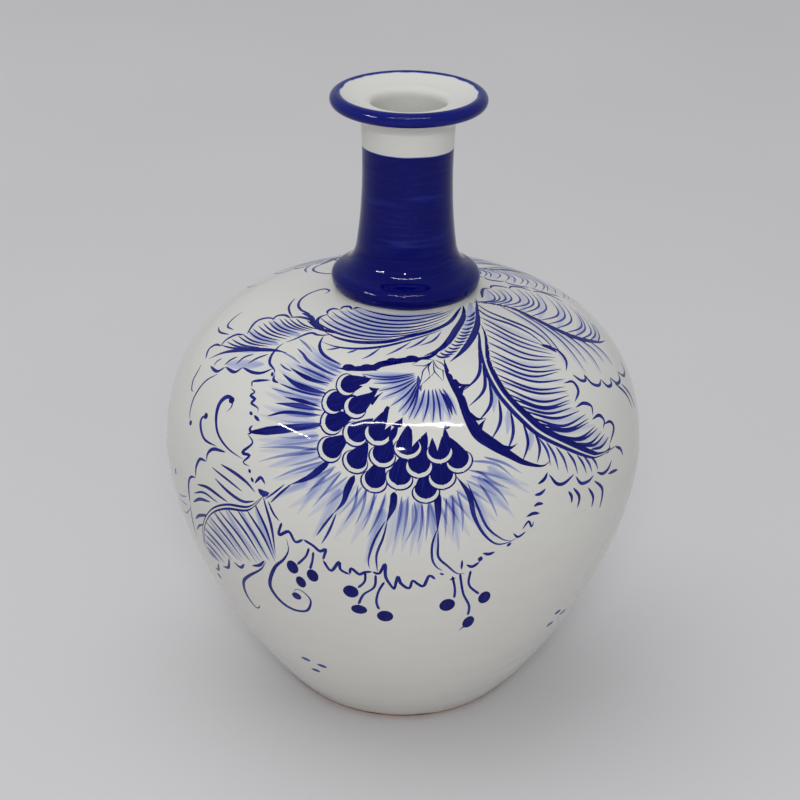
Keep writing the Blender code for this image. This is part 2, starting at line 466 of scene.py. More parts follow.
class Blossom:
    """Large open flower on the shoulder: scaled head, ruffled skirt of petals, stalked berries below."""

    def skirt_washes(self, brush: Brush) -> None:
        """Pale colour laid between the petal lines before they are drawn."""
        for a, b, w in (
            ((-36, 71), (-22, 66), 4.0),
            ((-40, 63), (-25, 61), 3.0),
            ((-38, 50), (-23, 50.5), 3.4),
            ((-37, 42.5), (-24, 46), 3.4),
            ((-36, 29), (-21, 38), 3.6),
            ((-33, 22), (-21, 33), 2.6),
            ((-31, 10), (-22, 21), 2.8),
            ((-24, 7), (-18, 24), 2.6),
            ((-20, -1), (-14, 20), 3.2),
            ((-8, -9), (-4, 14), 4.2),
            ((-2, -5), (1, 18), 3.0),
            ((2, -5), (4, 18), 2.6),
            ((8, -6), (6.5, 16), 3.0),
            ((13, -4), (11, 19), 3.2),
            ((21, 0), (15.5, 20), 3.2),
            ((26, 7), (17.5, 25), 3.0),
            ((30, 15), (20, 28), 2.6),
        ):
            brush.pull(b, mixed(a, b, 0.5), a, width=1.3 * w, load=WASH, tip=Tip.TAIL, fade=0.6, soft=0.75)
        roots = [(-20, 66), (-23, 58), (-24, 48), (-21, 37), (-15, 27), (-7, 20), (3, 16), (11, 19), (17, 27)]
        hem = [(-39, 74), (-42, 62), (-41, 47), (-37, 29), (-28, 11), (-13, -2), (3, -5), (19, 2), (30, 18)]
        veins = [(-33, 70), (-36, 60), (-35, 47), (-32, 32), (-24, 17), (-11, 7), (3, 4), (16, 9), (26, 21)]
        brush.fan(roots, hem, 34, 0.02, width=(2.6, 3.8, 1.8), load=FAINT, soft=0.6, fade=0.4)
        brush.fan(roots, veins, 40, 0.02, width=(1.3, 1.0, 0.5), load=0.40, soft=0.3, fade=0.5)

    def skirt_left(self, brush: Brush) -> None:
        """Petals that open to the left, their lines and frilled outline."""
        for path, w, load in (
            ([(-37, 80), (-35, 75), (-30.5, 71), (-22, 68)], NORMAL, FIRM),
            ([(-42, 70), (-38, 68.5), (-33.5, 66), (-22, 62.5)], NORMAL, MIDDLE),
            ([(-45.5, 74.5), (-40, 73), (-35, 70.5)], FINE, THIN),
            ([(-47, 66), (-41, 65.5), (-36, 64)], HAIR, THIN),
            ([(-37, 63), (-30, 62), (-22, 60)], FINE, MIDDLE),
            ([(-38.7, 61), (-29.7, 58.8), (-23, 58.8)], (0.8, 1.9, 1.2), DARK),
            ([(-39.5, 57.5), (-33.5, 55.3), (-28, 54.6), (-22, 54.4)], (1.2, 2.4, 1.6), FIRM),
            ([(-38.4, 53.4), (-30, 52.8), (-23, 53)], FINE, FIRM),
            ([(-34.6, 49), (-29, 49.3), (-23, 48.8)], (0.7, 1.7, 1.0), FIRM),
            ([(-40, 50.5), (-36, 50.8), (-32, 51)], HAIR, THIN),
            ([(-36.5, 45.6), (-29.7, 47.2), (-22, 47.5)], (0.8, 2.2, 1.2), MIDDLE),
            ([(-37, 40), (-31.6, 43.8), (-22, 45.6)], NORMAL, FIRM),
            ([(-43, 61), (-40, 60), (-37, 59.7)], HAIR, MIDDLE),
        ):
            brush.pull(*path, width=w, load=load)
        brush.pull((-40.3, 32.2), (-37.6, 33.6), (-33, 36.2), (-27, 39.4), (-20.7, 42.5),
                   width=(1.0, 3.1, 3.3, 2.4, 1.3), load=DARK, tip=Tip.EVEN, fade=0.35)
        outline = [
            [(-34, 82.5), (-37, 80.5), (-40, 79.5), (-43, 79.5), (-45, 77.5), (-47, 73), (-49, 70)],
            [(-49, 70), (-49.3, 67), (-48.5, 62.5), (-46.6, 59.4), (-43.3, 57.8), (-41.8, 56)],
            [(-41.8, 56), (-41, 53.8), (-38.6, 53.4)],
            [(-41.8, 53.4), (-44, 52.2), (-46, 51), (-47.4, 49.7), (-46.2, 47.9)],
            [(-46.6, 47.4), (-44.4, 46.6), (-45.2, 44.9), (-43, 44.2), (-43.6, 42.4), (-40.8, 41.6),
             (-40.3, 40)],
            [(-40, 35), (-40.6, 33.4), (-39.9, 32), (-40.8, 31.3)],
            [(-40.8, 31.3), (-38.5, 28.8), (-40.8, 24), (-38.4, 24), (-39.9, 20.6), (-37.8, 20)],
        ]
        for path in outline:
            brush.pull(*path, width=(0.9, 1.25, 0.8), load=FIRM)
        for path in (
            [(-42.8, 39.2), (-41.4, 38.4)],
            [(-41, 38.6), (-38.5, 37.2)],
            [(-43.4, 56.6), (-42, 54.8)],
            [(-38, 19), (-37.2, 17.6)],
            [(-37, 16.2), (-36, 14.6)],
            [(-35.7, 14.4), (-34.2, 17.4), (-32.7, 15.4)],
        ):
            brush.pull(*path, width=1.3, load=FIRM)

    def skirt_front(self, brush: Brush) -> None:
        """Dark rays, pale rays and frilled hem in front."""
        rays = (
            ([(-17.3, 29.4), (-19.6, 25.5), (-22, 22), (-26.7, 17.5)], (1.6, 3.0, 2.6, 0.9), DARK),
            ([(-26, 18.2), (-28.6, 13.6), (-31, 8.8)], FINE, FIRM),
            ([(-27.6, 17.6), (-30.4, 12.8), (-32.6, 9.6)], HAIR, FIRM),
            ([(-11, 25.6), (-12.4, 20), (-13.2, 15), (-15.4, 10)], (1.8, 3.1, 2.6, 1.0), DARK),
            ([(-15.1, 10.8), (-17.4, 5), (-19.2, 0)], FINE, FIRM),
            ([(-14.6, 10.4), (-16.2, 3), (-18, -3)], FINE, FIRM),
            ([(-1.8, 20.4), (-2.0, 15), (-3.3, 8.8)], (2.2, 3.4, 2.0), DARK),
            ([(-3.5, 9.4), (-5.9, 1.3), (-7.2, -7), (-7, -11.3)], FINE, FIRM),
            ([(-3.1, 9), (-4, 2.5), (-5.4, -5), (-5.2, -12.6)], FINE, FIRM),
            ([(8, 20), (8.1, 12), (8, 5)], (2.6, 3.1, 1.8), DARK),
            ([(7.9, 6), (6.9, 0), (7, -6.3), (8, -10), (9.5, -12)], FINE, FIRM),
            ([(8.1, 6), (8.2, 0), (8.4, -5.7), (10.6, -10), (12.9, -13.8), (14.8, -14)], FINE, FIRM),
            ([(12.5, 25.6), (15.2, 18.5), (16.3, 10), (18.5, 2.5), (21.5, -2.5), (24.5, -3), (27, -1.5)],
             (1.6, 2.7, 1.9, 1.2, 1.0, 0.9, 0.7), FIRM),
            ([(15, 23), (17, 14), (19.3, 5), (23, -1), (25.3, -2.5)], FINE, FIRM),
        )
        for path, w, load in rays:
            brush.pull(*path, width=w, load=load, fade=0.25, tip=Tip.TAIL if load == DARK else Tip.POINTED)
        for path in (
            [(-20.7, 32), (-29.7, 27.5), (-35.7, 22.8)],
            [(-19.4, 33), (-28, 31.5), (-36.5, 28)],
            [(-18.8, 29), (-25.5, 23.8), (-31, 18)],
            [(-16, 27), (-19.6, 20.5), (-22.4, 14.4)],
            [(-14.2, 26), (-17.4, 18), (-20.4, 11)],
            [(-10, 22), (-10.6, 14), (-13, 6)],
            [(-8, 23), (-8.6, 14), (-10.4, 6)],
            [(-6, 21), (-7, 12), (-8.8, 4)],
            [(-3.6, 20), (-5.4, 10), (-7.6, 2)],
            [(0, 19), (-0.6, 10), (-1.4, 1)],
            [(1.4, 19), (1, 10), (0.2, 1.5)],
            [(2.8, 17), (3.1, 10), (0.9, 0.6)],
            [(4.6, 16), (4.4, 8), (3.7, 0.6)],
            [(6, 17), (5.8, 9), (5.4, 1)],
            [(10, 18), (9.8, 10), (9.8, 2)],
            [(11.4, 19), (11.6, 10), (11.4, 2.5)],
            [(12.5, 20), (13.6, 12), (13.6, 3.7)],
            [(16.3, 30.6), (20, 29.6), (23, 27.5), (26.4, 22)],
            [(15.5, 27.5), (18.6, 25.6), (20.8, 22.5), (25.3, 18)],
            [(17.8, 22), (20, 16), (21.9, 8)],
            [(18.6, 24), (22.4, 18), (24.8, 11.5)],
            [(19.5, 31.6), (24.5, 28), (28.8, 22.8)],
        ):
            brush.pull(*path, width=(1.3, 1.0, 0.5), load=THIN, fade=0.45)

    def hem(self, brush: Brush) -> None:
        """Frilled lower edge of the skirt."""
        frill = [
            (-27.8, 2.4), (-28.6, -3.2), (-26, -0.7), (-24.4, -4.4), (-22.4, -2.6), (-20, -4.4),
            (-18.4, -6.3), (-17, -5), (-17.8, -10), (-16, -14.4), (-14, -9.8), (-13.7, -13.2), (-11.6, -15),
            (-11.2, -12), (-9.4, -14.4), (-8.2, -13.2), (-6.4, -12.6), (-4.8, -13.2), (-3.5, -8.8),
            (-3.3, -15), (-1.4, -21), (-0.6, -14.4), (0.1, -17.6), (2, -20), (2.7, -15.7), (4.2, -18.2),
            (5.4, -18.8), (6.5, -14), (8, -16),
        ]
        for first in range(0, len(frill) - 1, 4):
            brush.pull(*frill[first : first + 5], width=(1.0, 1.3, 1.0), load=FIRM, tip=Tip.EVEN, fade=0.1)
        for path, w in (
            ([(13.8, -7.6), (13.8, -12.3)], FINE),
            ([(18, -9.4), (16.3, -11.3), (14.8, -10)], NORMAL),
            ([(18.2, -7), (17.9, -9.5)], 2.0),
            ([(21.5, -6), (20, -6.6), (18.5, -5.7)], NORMAL),
            ([(25.4, -3.4), (24.2, -4.6)], NORMAL),
            ([(25.7, 0.6), (27, -1.5), (29, 0)], FINE),
            ([(28, 1.2), (29.6, 4), (30.4, 1.4), (31, 3.4)], FINE),
            ([(29, 6), (30.8, 6.7), (32.6, 6)], NORMAL),
            ([(31, 9.4), (32.2, 10), (33.6, 9.4)], NORMAL),
            ([(31.3, 13.8), (33, 13.7), (34.5, 15)], NORMAL),
            ([(32.4, 17.5), (34.4, 18.8), (35.5, 21)], NORMAL),
            ([(8.8, -13), (9.9, -14)], FINE),
            ([(11.2, -16.6), (12.6, -15.8)], FINE),
            ([(-34.6, 12.8), (-33, 11.6), (-31.4, 12.6)], 2.4),
            ([(-31.6, 9.4), (-30, 5), (-28.4, 2.6)], FINE),
        ):
            brush.pull(*path, width=w, load=FIRM)

    def scale(self, brush: Brush, head: Point, tail: Point, half_width: float = 3.2) -> None:
        """One scale of the flower's head: dark drop in a pale crescent with a fine rim.

        Args:
            brush: the brush in use.
            head: middle of the round end.
            tail: tip of the narrow end.
            half_width: half width of the dark drop, in millimetres.
        """
        across = (head[0] - tail[0]) * 1.3, head[1] - tail[1]
        size = math.hypot(*across)
        unit = (across[0] / size / 1.3, across[1] / size)
        rim, gap = 1.95, 1.35
        start = (head[0] - unit[0] * 3.0, head[1] - unit[1] * 3.0)
        for grow, load, wipes in ((rim, FIRM, False), (gap, 0.0, True)):
            reach = half_width + grow
            end = (head[0] + unit[0] * reach, head[1] + unit[1] * reach)
            width = 2 * reach / (1.0 if wipes else PRESSURE)
            brush.pull(start, head, end, width=width, load=load, tip=Tip.ROUND, wipes=wipes, fade=0.0)
        nose = (head[0] + unit[0] * half_width, head[1] + unit[1] * half_width)
        brush.pull(tail, mixed(tail, head, 0.5), head, nose, width=2.5 * half_width / PRESSURE,
                   load=DARK, tip=Tip.DROP, fade=0.0)

    def head(self, brush: Brush) -> None:
        """Scaled heart of the flower, painted from the rim inward."""
        rows = (
            ((-0.6, 26.3), (0.6, 35)), ((5.4, 21.3), (5.4, 30)), ((-6.3, 24.7), (-4.6, 33)),
            ((9.1, 26.3), (8.6, 35)), ((13.3, 31.8), (11.6, 40)), ((-10.9, 31.3), (-8.6, 38)),
            ((-17.3, 34.4), (-13.4, 40)), ((3.9, 30.5), (4.2, 40)), ((8.8, 35.4), (8.4, 43)),
            ((-4.7, 34), (-3.2, 42)), ((1.2, 37.5), (1.2, 45)), ((-11.6, 41.3), (-8, 47)),
            ((-18, 44.4), (-13, 48)), ((-6.2, 42), (-3.8, 52)), ((-19.2, 52), (-13, 55)),
            ((-13, 51.3), (-8.2, 57.8)), ((-17, 60), (-10.6, 63.6)),
        )
        for head, tail in rows:
            self.scale(brush, head, tail, brush.hand.uniform(3.1, 3.5))
        for root, finger in (((-16, 60.6), (-11.4, 63.8)), ((-12, 53), (-8, 58.4)),
                             ((-5.4, 44), (-4.4, 52.4))):
            brush.pull(root, mixed(root, finger, 0.5), finger, width=(3.4, 2.4, 2.0), load=DARK,
                       tip=Tip.ROUND, fade=0.0)
        for head, tail in (((-1.8, 44), (-0.8, 53)), ((5.9, 44.2), (4.8, 50)), ((11, 43), (10.4, 50)),
                           ((-8.6, 52), (-5.2, 59)), ((-10, 58.5), (-6.2, 63.4)), ((-14, 66), (-6, 66.8))):
            brush.pull(tail, mixed(tail, head, 0.5), head, width=(2.0, 4.2, 3.8), load=DARK, tip=Tip.HEAD,
                       fade=0.0)

    def calyx(self, brush: Brush) -> None:
        """Pale leaves that hold the head, and the dark contour over them."""
        for finger in (((5.4, 44.6), (5.3, 40), (5.4, 35)), ((10.6, 43.6), (10.8, 39.6), (11.4, 35)),
                       ((-1.4, 45), (-2.4, 42), (-3.2, 38.6))):
            brush.pull(*finger, width=(1.8, 2.6, 2.6), load=DARK, fade=0.0)
        left, right = (4.4, 65.0), (8.8, 60.6)
        for base, tip, w in ((left, (-17.6, 66), 4.0), (left, (-13.6, 60), 5.0), (left, (-9.4, 50.6), 6.8),
                             (left, (-4.6, 43.2), 7.2), (right, (-0.2, 46), 5.0), (right, (2.3, 37.2), 7.4),
                             (right, (5.4, 44.6), 4.6), (right, (8.4, 35.4), 6.6), (right, (11.6, 44), 4.6),
                             (right, (15.8, 38.2), 6.0)):
            brush.pull(base, mixed(base, tip, 0.3), mixed(base, tip, 0.7), mixed(base, tip, 0.92), tip,
                       width=(2.0, 0.8 * w, 1.05 * w, 0.85 * w, 0.2 * w), load=0.0, wipes=True, fade=0.0)
        for starts, ends, count in (
            ([(3.6, 67), (4.6, 61)], [(-15, 65.4), (-10, 61.6), (-6.4, 55), (-2, 49), (1.4, 47)], 9),
            ([(6.4, 59.6), (11.8, 59.6)], [(2.6, 47), (5.4, 45.6), (8.6, 45.4), (12.2, 46), (14.4, 48)], 6),
        ):
            brush.fan(starts, ends, count, 0.02, width=(1.6, 3.4, 2.4), load=WASH, soft=0.5, fade=0.35)
            brush.fan(starts, ends, count, 0.04, width=(0.9, 0.85, 0.5), load=MIDDLE, fade=0.1)
        brush.pull((4.6, 66), (4.8, 62), (5.2, 58.6), width=(1.0, 2.0, 1.0), load=MIDDLE)
        brush.pull((11.6, 57.6), (12.8, 53), (13.2, 48), width=(1.8, 1.6, 0.8), load=FIRM)
        brush.pull((-22.5, 66.2), (-16, 67.5), (-10.5, 69), (-8, 71), (0, 73.5), (6.5, 74), (11.5, 76),
                   (15, 79),
                   width=(2.4, 3.6, 3.2, 3.0, 2.8, 2.8, 2.4, 1.6), load=DARK, fade=0.0)
        for lump in ((-19, 67.4), (-13, 68.6), (-4, 72.8), (3, 74.4)):
            brush.dab(lump, 2.4, 1.7, load=DARK, fade=0.0)
        for tip, w in (((2.6, 71), 3.0), ((4.9, 61), 3.2), ((8.6, 65), 2.6), ((12.6, 62.6), 2.8),
                       ((14.4, 67), 2.4)):
            base = (11.0, 73.4)
            brush.pull(base, mixed(base, tip, 0.6), tip, width=(2.0, w + 0.9, 1.2), load=FIRM, fade=0.0)
            brush.pull(base, mixed(base, tip, 0.6), tip, width=(1.2, w, 0.7), load=0.0, wipes=True, fade=0.0)
        brush.pull((15, 73.6), (14.6, 67.5), (15.5, 61), (16.6, 55), (17, 49), (18, 44), (19.2, 40),
                   (22.4, 35.6), (26.8, 30), (29.8, 26.6), (34.3, 23.8), (36.8, 24.8),
                   width=(1.9, 3.4, 3.8, 3.6, 3.2, 4.2, 4.6, 4.2, 3.2, 2.6, 2.0, 1.3), load=DARK, fade=0.0)
        for root, bend, cusp in (((15.5, 63), (17.4, 60.4), (21.0, 60.2)),
                                 ((16.2, 56.6), (18, 59), (21.0, 60.2)),
                                 ((17.4, 48), (19.6, 45.8), (22.2, 45.6)),
                                 ((19, 41), (20.6, 43.6), (22.2, 45.6)),
                                 ((24, 33.6), (27, 33.2), (29, 34.4))):
            brush.pull(root, bend, cusp, width=(3.0, 1.8, 0.5), load=DARK, tip=Tip.TAIL, fade=0.0)

    def berries(self, brush: Brush) -> None:
        """Dark berries on fine stalks under the hem."""
        for path in (
            [(-21, -5.7), (-22, -10), (-24.4, -14.8)],
            [(-20, -7), (-20.4, -11.4), (-21.2, -15.7)],
            [(-8, -13), (-8.2, -17.6), (-9.9, -21.3)],
            [(-5.6, -13.8), (-6, -20), (-8.6, -24.4), (-10, -30)],
            [(-3.6, -17), (-5, -22), (-5.6, -27.6), (-5, -32)],
            [(11.8, -14.8), (12.7, -21.3), (12.8, -26.3)],
            [(13.5, -13.8), (14.8, -23.8), (16.8, -31.3), (17, -37)],
            [(16, -12.9), (16, -20), (18.9, -25.7)],
        ):
            brush.pull(*path, width=(1.0, 0.9, 1.1), load=FIRM, tip=Tip.EVEN)
        for centre, a, b in (
            ((-25.7, -16.6), 2.8, 3.1), ((-20.7, -18.5), 2.7, 3.0), ((-24, -23.2), 2.4, 2.8),
            ((-11.6, -23.5), 3.4, 3.1), ((-9.9, -32.7), 3.5, 2.5), ((-3.6, -35.4), 3.5, 3.1),
            ((11.3, -29.6), 3.4, 3.3), ((20.4, -27.9), 2.8, 3.2), ((17.5, -40.9), 2.6, 3.4),
        ):
            brush.dab(centre, 0.84 * a, b, load=DARK, fade=0.0)
        brush.pull((17.4, -42), (16.2, -44), (15.3, -45.7), width=(1.6, 0.5), load=FIRM, tip=Tip.TAIL)

    def paint(self, brush: Brush) -> None:
        """Paints the whole flower."""
        self.skirt_washes(brush)
        self.skirt_left(brush)
        self.skirt_front(brush)
        self.hem(brush)
        self.head(brush)
        self.calyx(brush)
        self.berries(brush)


class Foliage:
    """Stem, broad leaves, bud, tendrils and dots round the flower."""

    def upper_left_leaf(self, brush: Brush) -> None:
        """Long leaf lying on the shoulder over the flower."""
        for a, b, w in (((-42, 100), (30, 100.5), 5.4), ((-46, 96), (14, 97), 5.4), ((-46, 92), (6, 93), 5.0),
                        ((-44, 88), (-2, 89.5), 4.4), ((-36, 84.5), (-6, 86), 3.4)):
            brush.pull(b, mixed(a, b, 0.5), a, width=w, load=WASH, soft=0.45, fade=0.4)
        brush.pull((-40, 82.6), (-30, 81), (-20, 81.2), (-8, 83.4), (2, 87), (15, 90.4), (26, 93.8), (38, 99),
                   (46, 101.6), width=(0.9, 1.8, 2.2, 2.0, 1.8, 1.8, 2.0, 2.4, 2.6), load=FIRM, fade=0.0)
        brush.pull((-36, 77), (-28, 76.4), (-19, 77.6), (-9, 80.5), (0, 84), (10, 87.4), (21, 90.4),
                   width=(0.6, 1.2, 1.4, 1.3, 1.2, 1.0, 0.8), load=FIRM)
        for path in (
            [(-34, 102), (-20, 101), (-4, 100.4), (12, 101), (30, 102)],
            [(-39, 100), (-24, 98), (-8, 97.2), (8, 98.2), (24, 100.2), (40, 101.8)],
            [(-43, 98.2), (-28, 95.8), (-12, 94.6), (5, 95.4), (21, 98), (37, 100.8)],
            [(-46, 96.4), (-30, 93.6), (-14, 92.2), (3, 93), (18, 95.8), (32, 98.8)],
            [(-49, 94), (-33, 91.4), (-17, 89.8), (0, 90.6), (14.5, 93.4), (27, 96.4)],
            [(-49.6, 91.4), (-36, 89), (-21, 87.6), (-6, 88), (9, 90.8), (21, 94)],
            [(-49.4, 88.4), (-38, 86.4), (-25, 85.4), (-13, 85.6), (0, 87.8), (12, 91)],
            [(-47, 85.6), (-36, 84), (-25, 83.2), (-15, 83.6), (-5, 85.4)],
        ):
            brush.pull(*path, width=(1.0, 1.35, 1.1, 0.85, 0.6), load=FIRM, fade=0.0)
        for path in (
            [(-44, 84.6), (-48.4, 86.4), (-49.6, 89), (-48, 91.8)],
            [(-48, 91.6), (-51, 93), (-51, 95.6), (-46, 96.8)],
            [(-46, 96.8), (-47.4, 99), (-44, 100.6), (-39, 99.2)],
            [(-40, 99.8), (-38, 102), (-34, 102)],
        ):
            brush.pull(*path, width=(0.9, 1.5, 0.9), load=FIRM)
        brush.pull((-53, 84), (-42.5, 83), (-31, 83.4), width=(0.9, 1.8, 1.0), load=DARK)
        for path in ([(-10, 79.6), (-13.5, 74.6), (-16, 72.4)], [(3, 84), (-3.6, 78.4), (-7.5, 75.6)],
                     [(19, 89), (13, 84), (6, 81.4)], [(-19, 77), (-22.5, 74.2)],
                     [(12, 87.4), (5, 82), (0, 79.4)],
                     [(-26, 76.4), (-31, 73.6)]):
            brush.pull(*path, width=(0.7, 1.0, 0.6), load=MIDDLE)

    def second_left_leaf(self, brush: Brush) -> None:
        """Leaf curling down the left shoulder."""
        for a, b, w in (((-66, 74), (-46, 76), 4.4), ((-68, 65), (-50, 68), 4.0), ((-66, 56), (-54, 62), 3.2),
                        ((-62, 50), (-48, 58), 4.4)):
            brush.pull(b, mixed(a, b, 0.5), a, width=w, load=WASH, soft=0.5, fade=0.3)
        brush.pull((-44, 66.4), (-49, 65.2), (-55, 62.2), (-60, 59), (-67, 52.5), (-71, 46),
                   width=(1.2, 2.1, 2.2, 2.0, 1.6, 1.0), load=FIRM)
        for path, w in (
            ([(-38, 82.4), (-43, 84), (-48, 84.4), (-54, 86.4), (-61, 85.6)], BROAD),
            ([(-46, 84), (-52, 85), (-58, 83.6), (-62, 80.6)], NORMAL),
            ([(-61, 80.6), (-65.6, 80), (-68, 77.4), (-66.4, 74.6)], NORMAL),
            ([(-66, 76), (-70, 74), (-71.6, 69.6), (-67, 63.6)], NORMAL),
            ([(-68, 62.4), (-71, 60.4), (-72.4, 56), (-71.4, 52.6)], NORMAL),
            ([(-71.4, 53), (-74.4, 51.4), (-75.4, 48), (-72.4, 45)], NORMAL),
            ([(-44, 58), (-46.5, 54.5), (-50, 53), (-54.6, 52.8)], NORMAL),
            ([(-54.6, 52.8), (-56, 49.5), (-61, 49)], NORMAL),
            ([(-61, 49), (-62.8, 45.5), (-67.5, 45)], NORMAL),
            ([(-72.3, 42.5), (-71.4, 39), (-71, 36), (-69, 33), (-67.5, 33)], FINE),
            ([(-61.7, 45), (-64.7, 39.5), (-65.7, 32), (-64.7, 26), (-63.2, 23.4)], FINE),
            ([(-50, 85.4), (-57, 87), (-64, 86.4), (-70, 87), (-76, 89.5), (-81, 94), (-83, 99), (-78, 101),
              (-74, 98.6)],
             (0.9, 1.5, 1.3, 1.1, 1.0, 1.0, 1.0, 1.8, 1.2)),
            ([(-60, 81.4), (-67, 82.4), (-73, 84), (-79, 87.4)], FINE),
            ([(-85, 66), (-83.4, 61.5), (-80.4, 58.6), (-75, 60.4)], FINE),
            ([(-84.4, 54.6), (-80, 54.8), (-74, 58)], FINE),
            ([(-50, 62.5), (-52.4, 59), (-54, 55)], FINE),
            ([(-55, 59.6), (-57.4, 56.4), (-58, 52)], FINE),
            ([(-60, 55), (-61.6, 52), (-62, 49)], FINE),
            ([(-65.4, 50.4), (-66.4, 48), (-66, 46)], HAIR),
        ):
            brush.pull(*path, width=w, load=FIRM)
        brush.fan([(-59, 82), (-65, 77.5), (-68, 72), (-68.6, 66), (-70, 60), (-72, 53)],
                  [(-42, 82.4), (-46, 79), (-48.6, 74), (-50.4, 69.6), (-52.6, 65), (-60, 59.6)], 15, -0.03,
                  width=(0.7, 0.9, 0.7), load=FIRM, fade=0.1)
        brush.dab((-62.7, 22.8), 1.1, 1.0)

    def right_leaf(self, brush: Brush) -> None:
        """Broad leaf hanging down the right side, with a pale midrib."""
        rib = [(41, 90), (38, 84.4), (32.4, 76), (29.8, 69.4), (28.7, 62.5), (29, 55), (30.5, 48.8),
               (32.8, 42.5), (36, 36), (42, 28.8), (49.4, 21), (53, 18.8), (60.6, 17.5)]
        roots = [(47, 92.5), (40.4, 84.4), (34.6, 76), (31.6, 69.4), (30.2, 62.5), (30.4, 55), (32, 48.8),
                 (34.4, 42.5), (37.8, 36), (43.8, 29), (50.4, 22.6)]
        tips = [(57, 66), (56, 61.5), (55, 57.5), (54, 53.5), (50.8, 48), (50.5, 43.5), (50, 40),
                (52.5, 35.5), (54, 31), (56, 27), (58.5, 23)]
        for i in range(12):
            t = i / 11
            a, b = along(roots, t), along(tips, t)
            brush.pull(a, mixed(a, b, 0.5), b, width=3.0, load=FAINT + 0.05, soft=0.7, fade=0.6)
        brush.fan(roots, tips, 24, -0.10, width=(1.3, 1.1, 0.65), load=FIRM, fade=0.1)
        for edge in (
            [(58, 101), (52.6, 95), (52, 89.6), (55.6, 82.4), (57.6, 74), (57, 66)],
            [(60, 101), (56.4, 94), (57.6, 86), (60.4, 76), (60.2, 68), (58, 62)],
            [(57.4, 66.4), (59.8, 62), (59, 57), (55.4, 53.4)],
            [(51, 49.8), (54.6, 48.6), (54.4, 44.6), (50.8, 41.6)],
            [(50, 39.6), (53.6, 39.6), (56, 37), (54.8, 33.6)],
            [(54, 32.6), (57.4, 32.4), (58.6, 29.4), (57, 27)],
            [(57.6, 28.4), (61, 27.6), (61.8, 24.4), (58, 20)],
            [(58, 20), (57.6, 18.4), (55, 18.2)],
        ):
            brush.pull(*edge, width=(0.9, 1.5, 0.9), load=FIRM)
        brush.pull((55.8, 67.6), (58, 64.8), (58.6, 61.4), width=2.2, load=DARK)
        brush.fan([(30, 75.6), (27.2, 65), (27.6, 52.5), (30.6, 44), (34.4, 37)],
                  [(17.8, 58.5), (18.8, 48.5), (21.8, 37), (27, 29), (33, 25)], 7, 0.12,
                  width=(1.4, 1.3, 0.7), load=FIRM)
        for a, b in (((30.6, 72), (26.4, 57)), ((28.6, 60), (24.6, 47)), ((29.8, 49), (26.6, 38)),
                     ((34, 39), (31.4, 30))):
            brush.pull(a, mixed(a, b, 0.5), b, width=(1.6, 3.0, 1.6), load=WASH, soft=0.5, fade=0.3)
        brush.fan([(35, 34.4), (39.2, 29.2), (44.8, 23.5), (50, 20)],
                  [(36.6, 22.5), (41.4, 17.6), (47.3, 14), (52, 13.6)], 7, 0.08, width=(1.2, 1.1, 0.6),
                  load=MIDDLE)
        for scallop in (
            [(35.8, 20), (37.7, 15.6), (40, 14.7), (43.3, 16.6)],
            [(43.7, 15.6), (45.2, 12), (47.8, 11.3), (50, 12.5)],
            [(51.2, 13), (53.5, 11), (56, 11.4), (58, 13.8)],
            [(41, 11), (42, 8.4), (42, 5.6)],
            [(42.6, 11.6), (44.5, 7), (43.9, 2.5)],
            [(47.7, 8.8), (49.5, 3.8), (49, -0.3)],
            [(50, 10.3), (53.2, 4.6), (52.4, -3)],
            [(55.8, 9.4), (58.4, 8.8), (60.6, 8)],
            [(60.6, 17.5), (63, 15), (64, 11.6)],
        ):
            brush.pull(*scallop, width=NORMAL, load=FIRM)
        for side in (-0.85, 0.85):
            heavy = 1.45 if side > 0 else 1.0
            brush.pull(*[(u + heavy * side / (0.62 if v > 70 else 1.0), v) for u, v in rib],
                       width=(1.6, 1.9, 2.2, 2.3, 2.4, 2.5, 2.4 * heavy, 2.4 * heavy, 2.4 * heavy,
                              2.3 * heavy,
                              1.9 * heavy, 1.4, 0.9), load=DARK if side > 0 else FIRM, fade=0.1)
        brush.pull(*rib, width=(0.8, 0.9, 0.9, 0.9, 0.9, 0.9, 0.9, 0.9, 0.9, 0.8, 0.7, 0.6, 0.4), load=0.0,
                   wipes=True, fade=0.0)

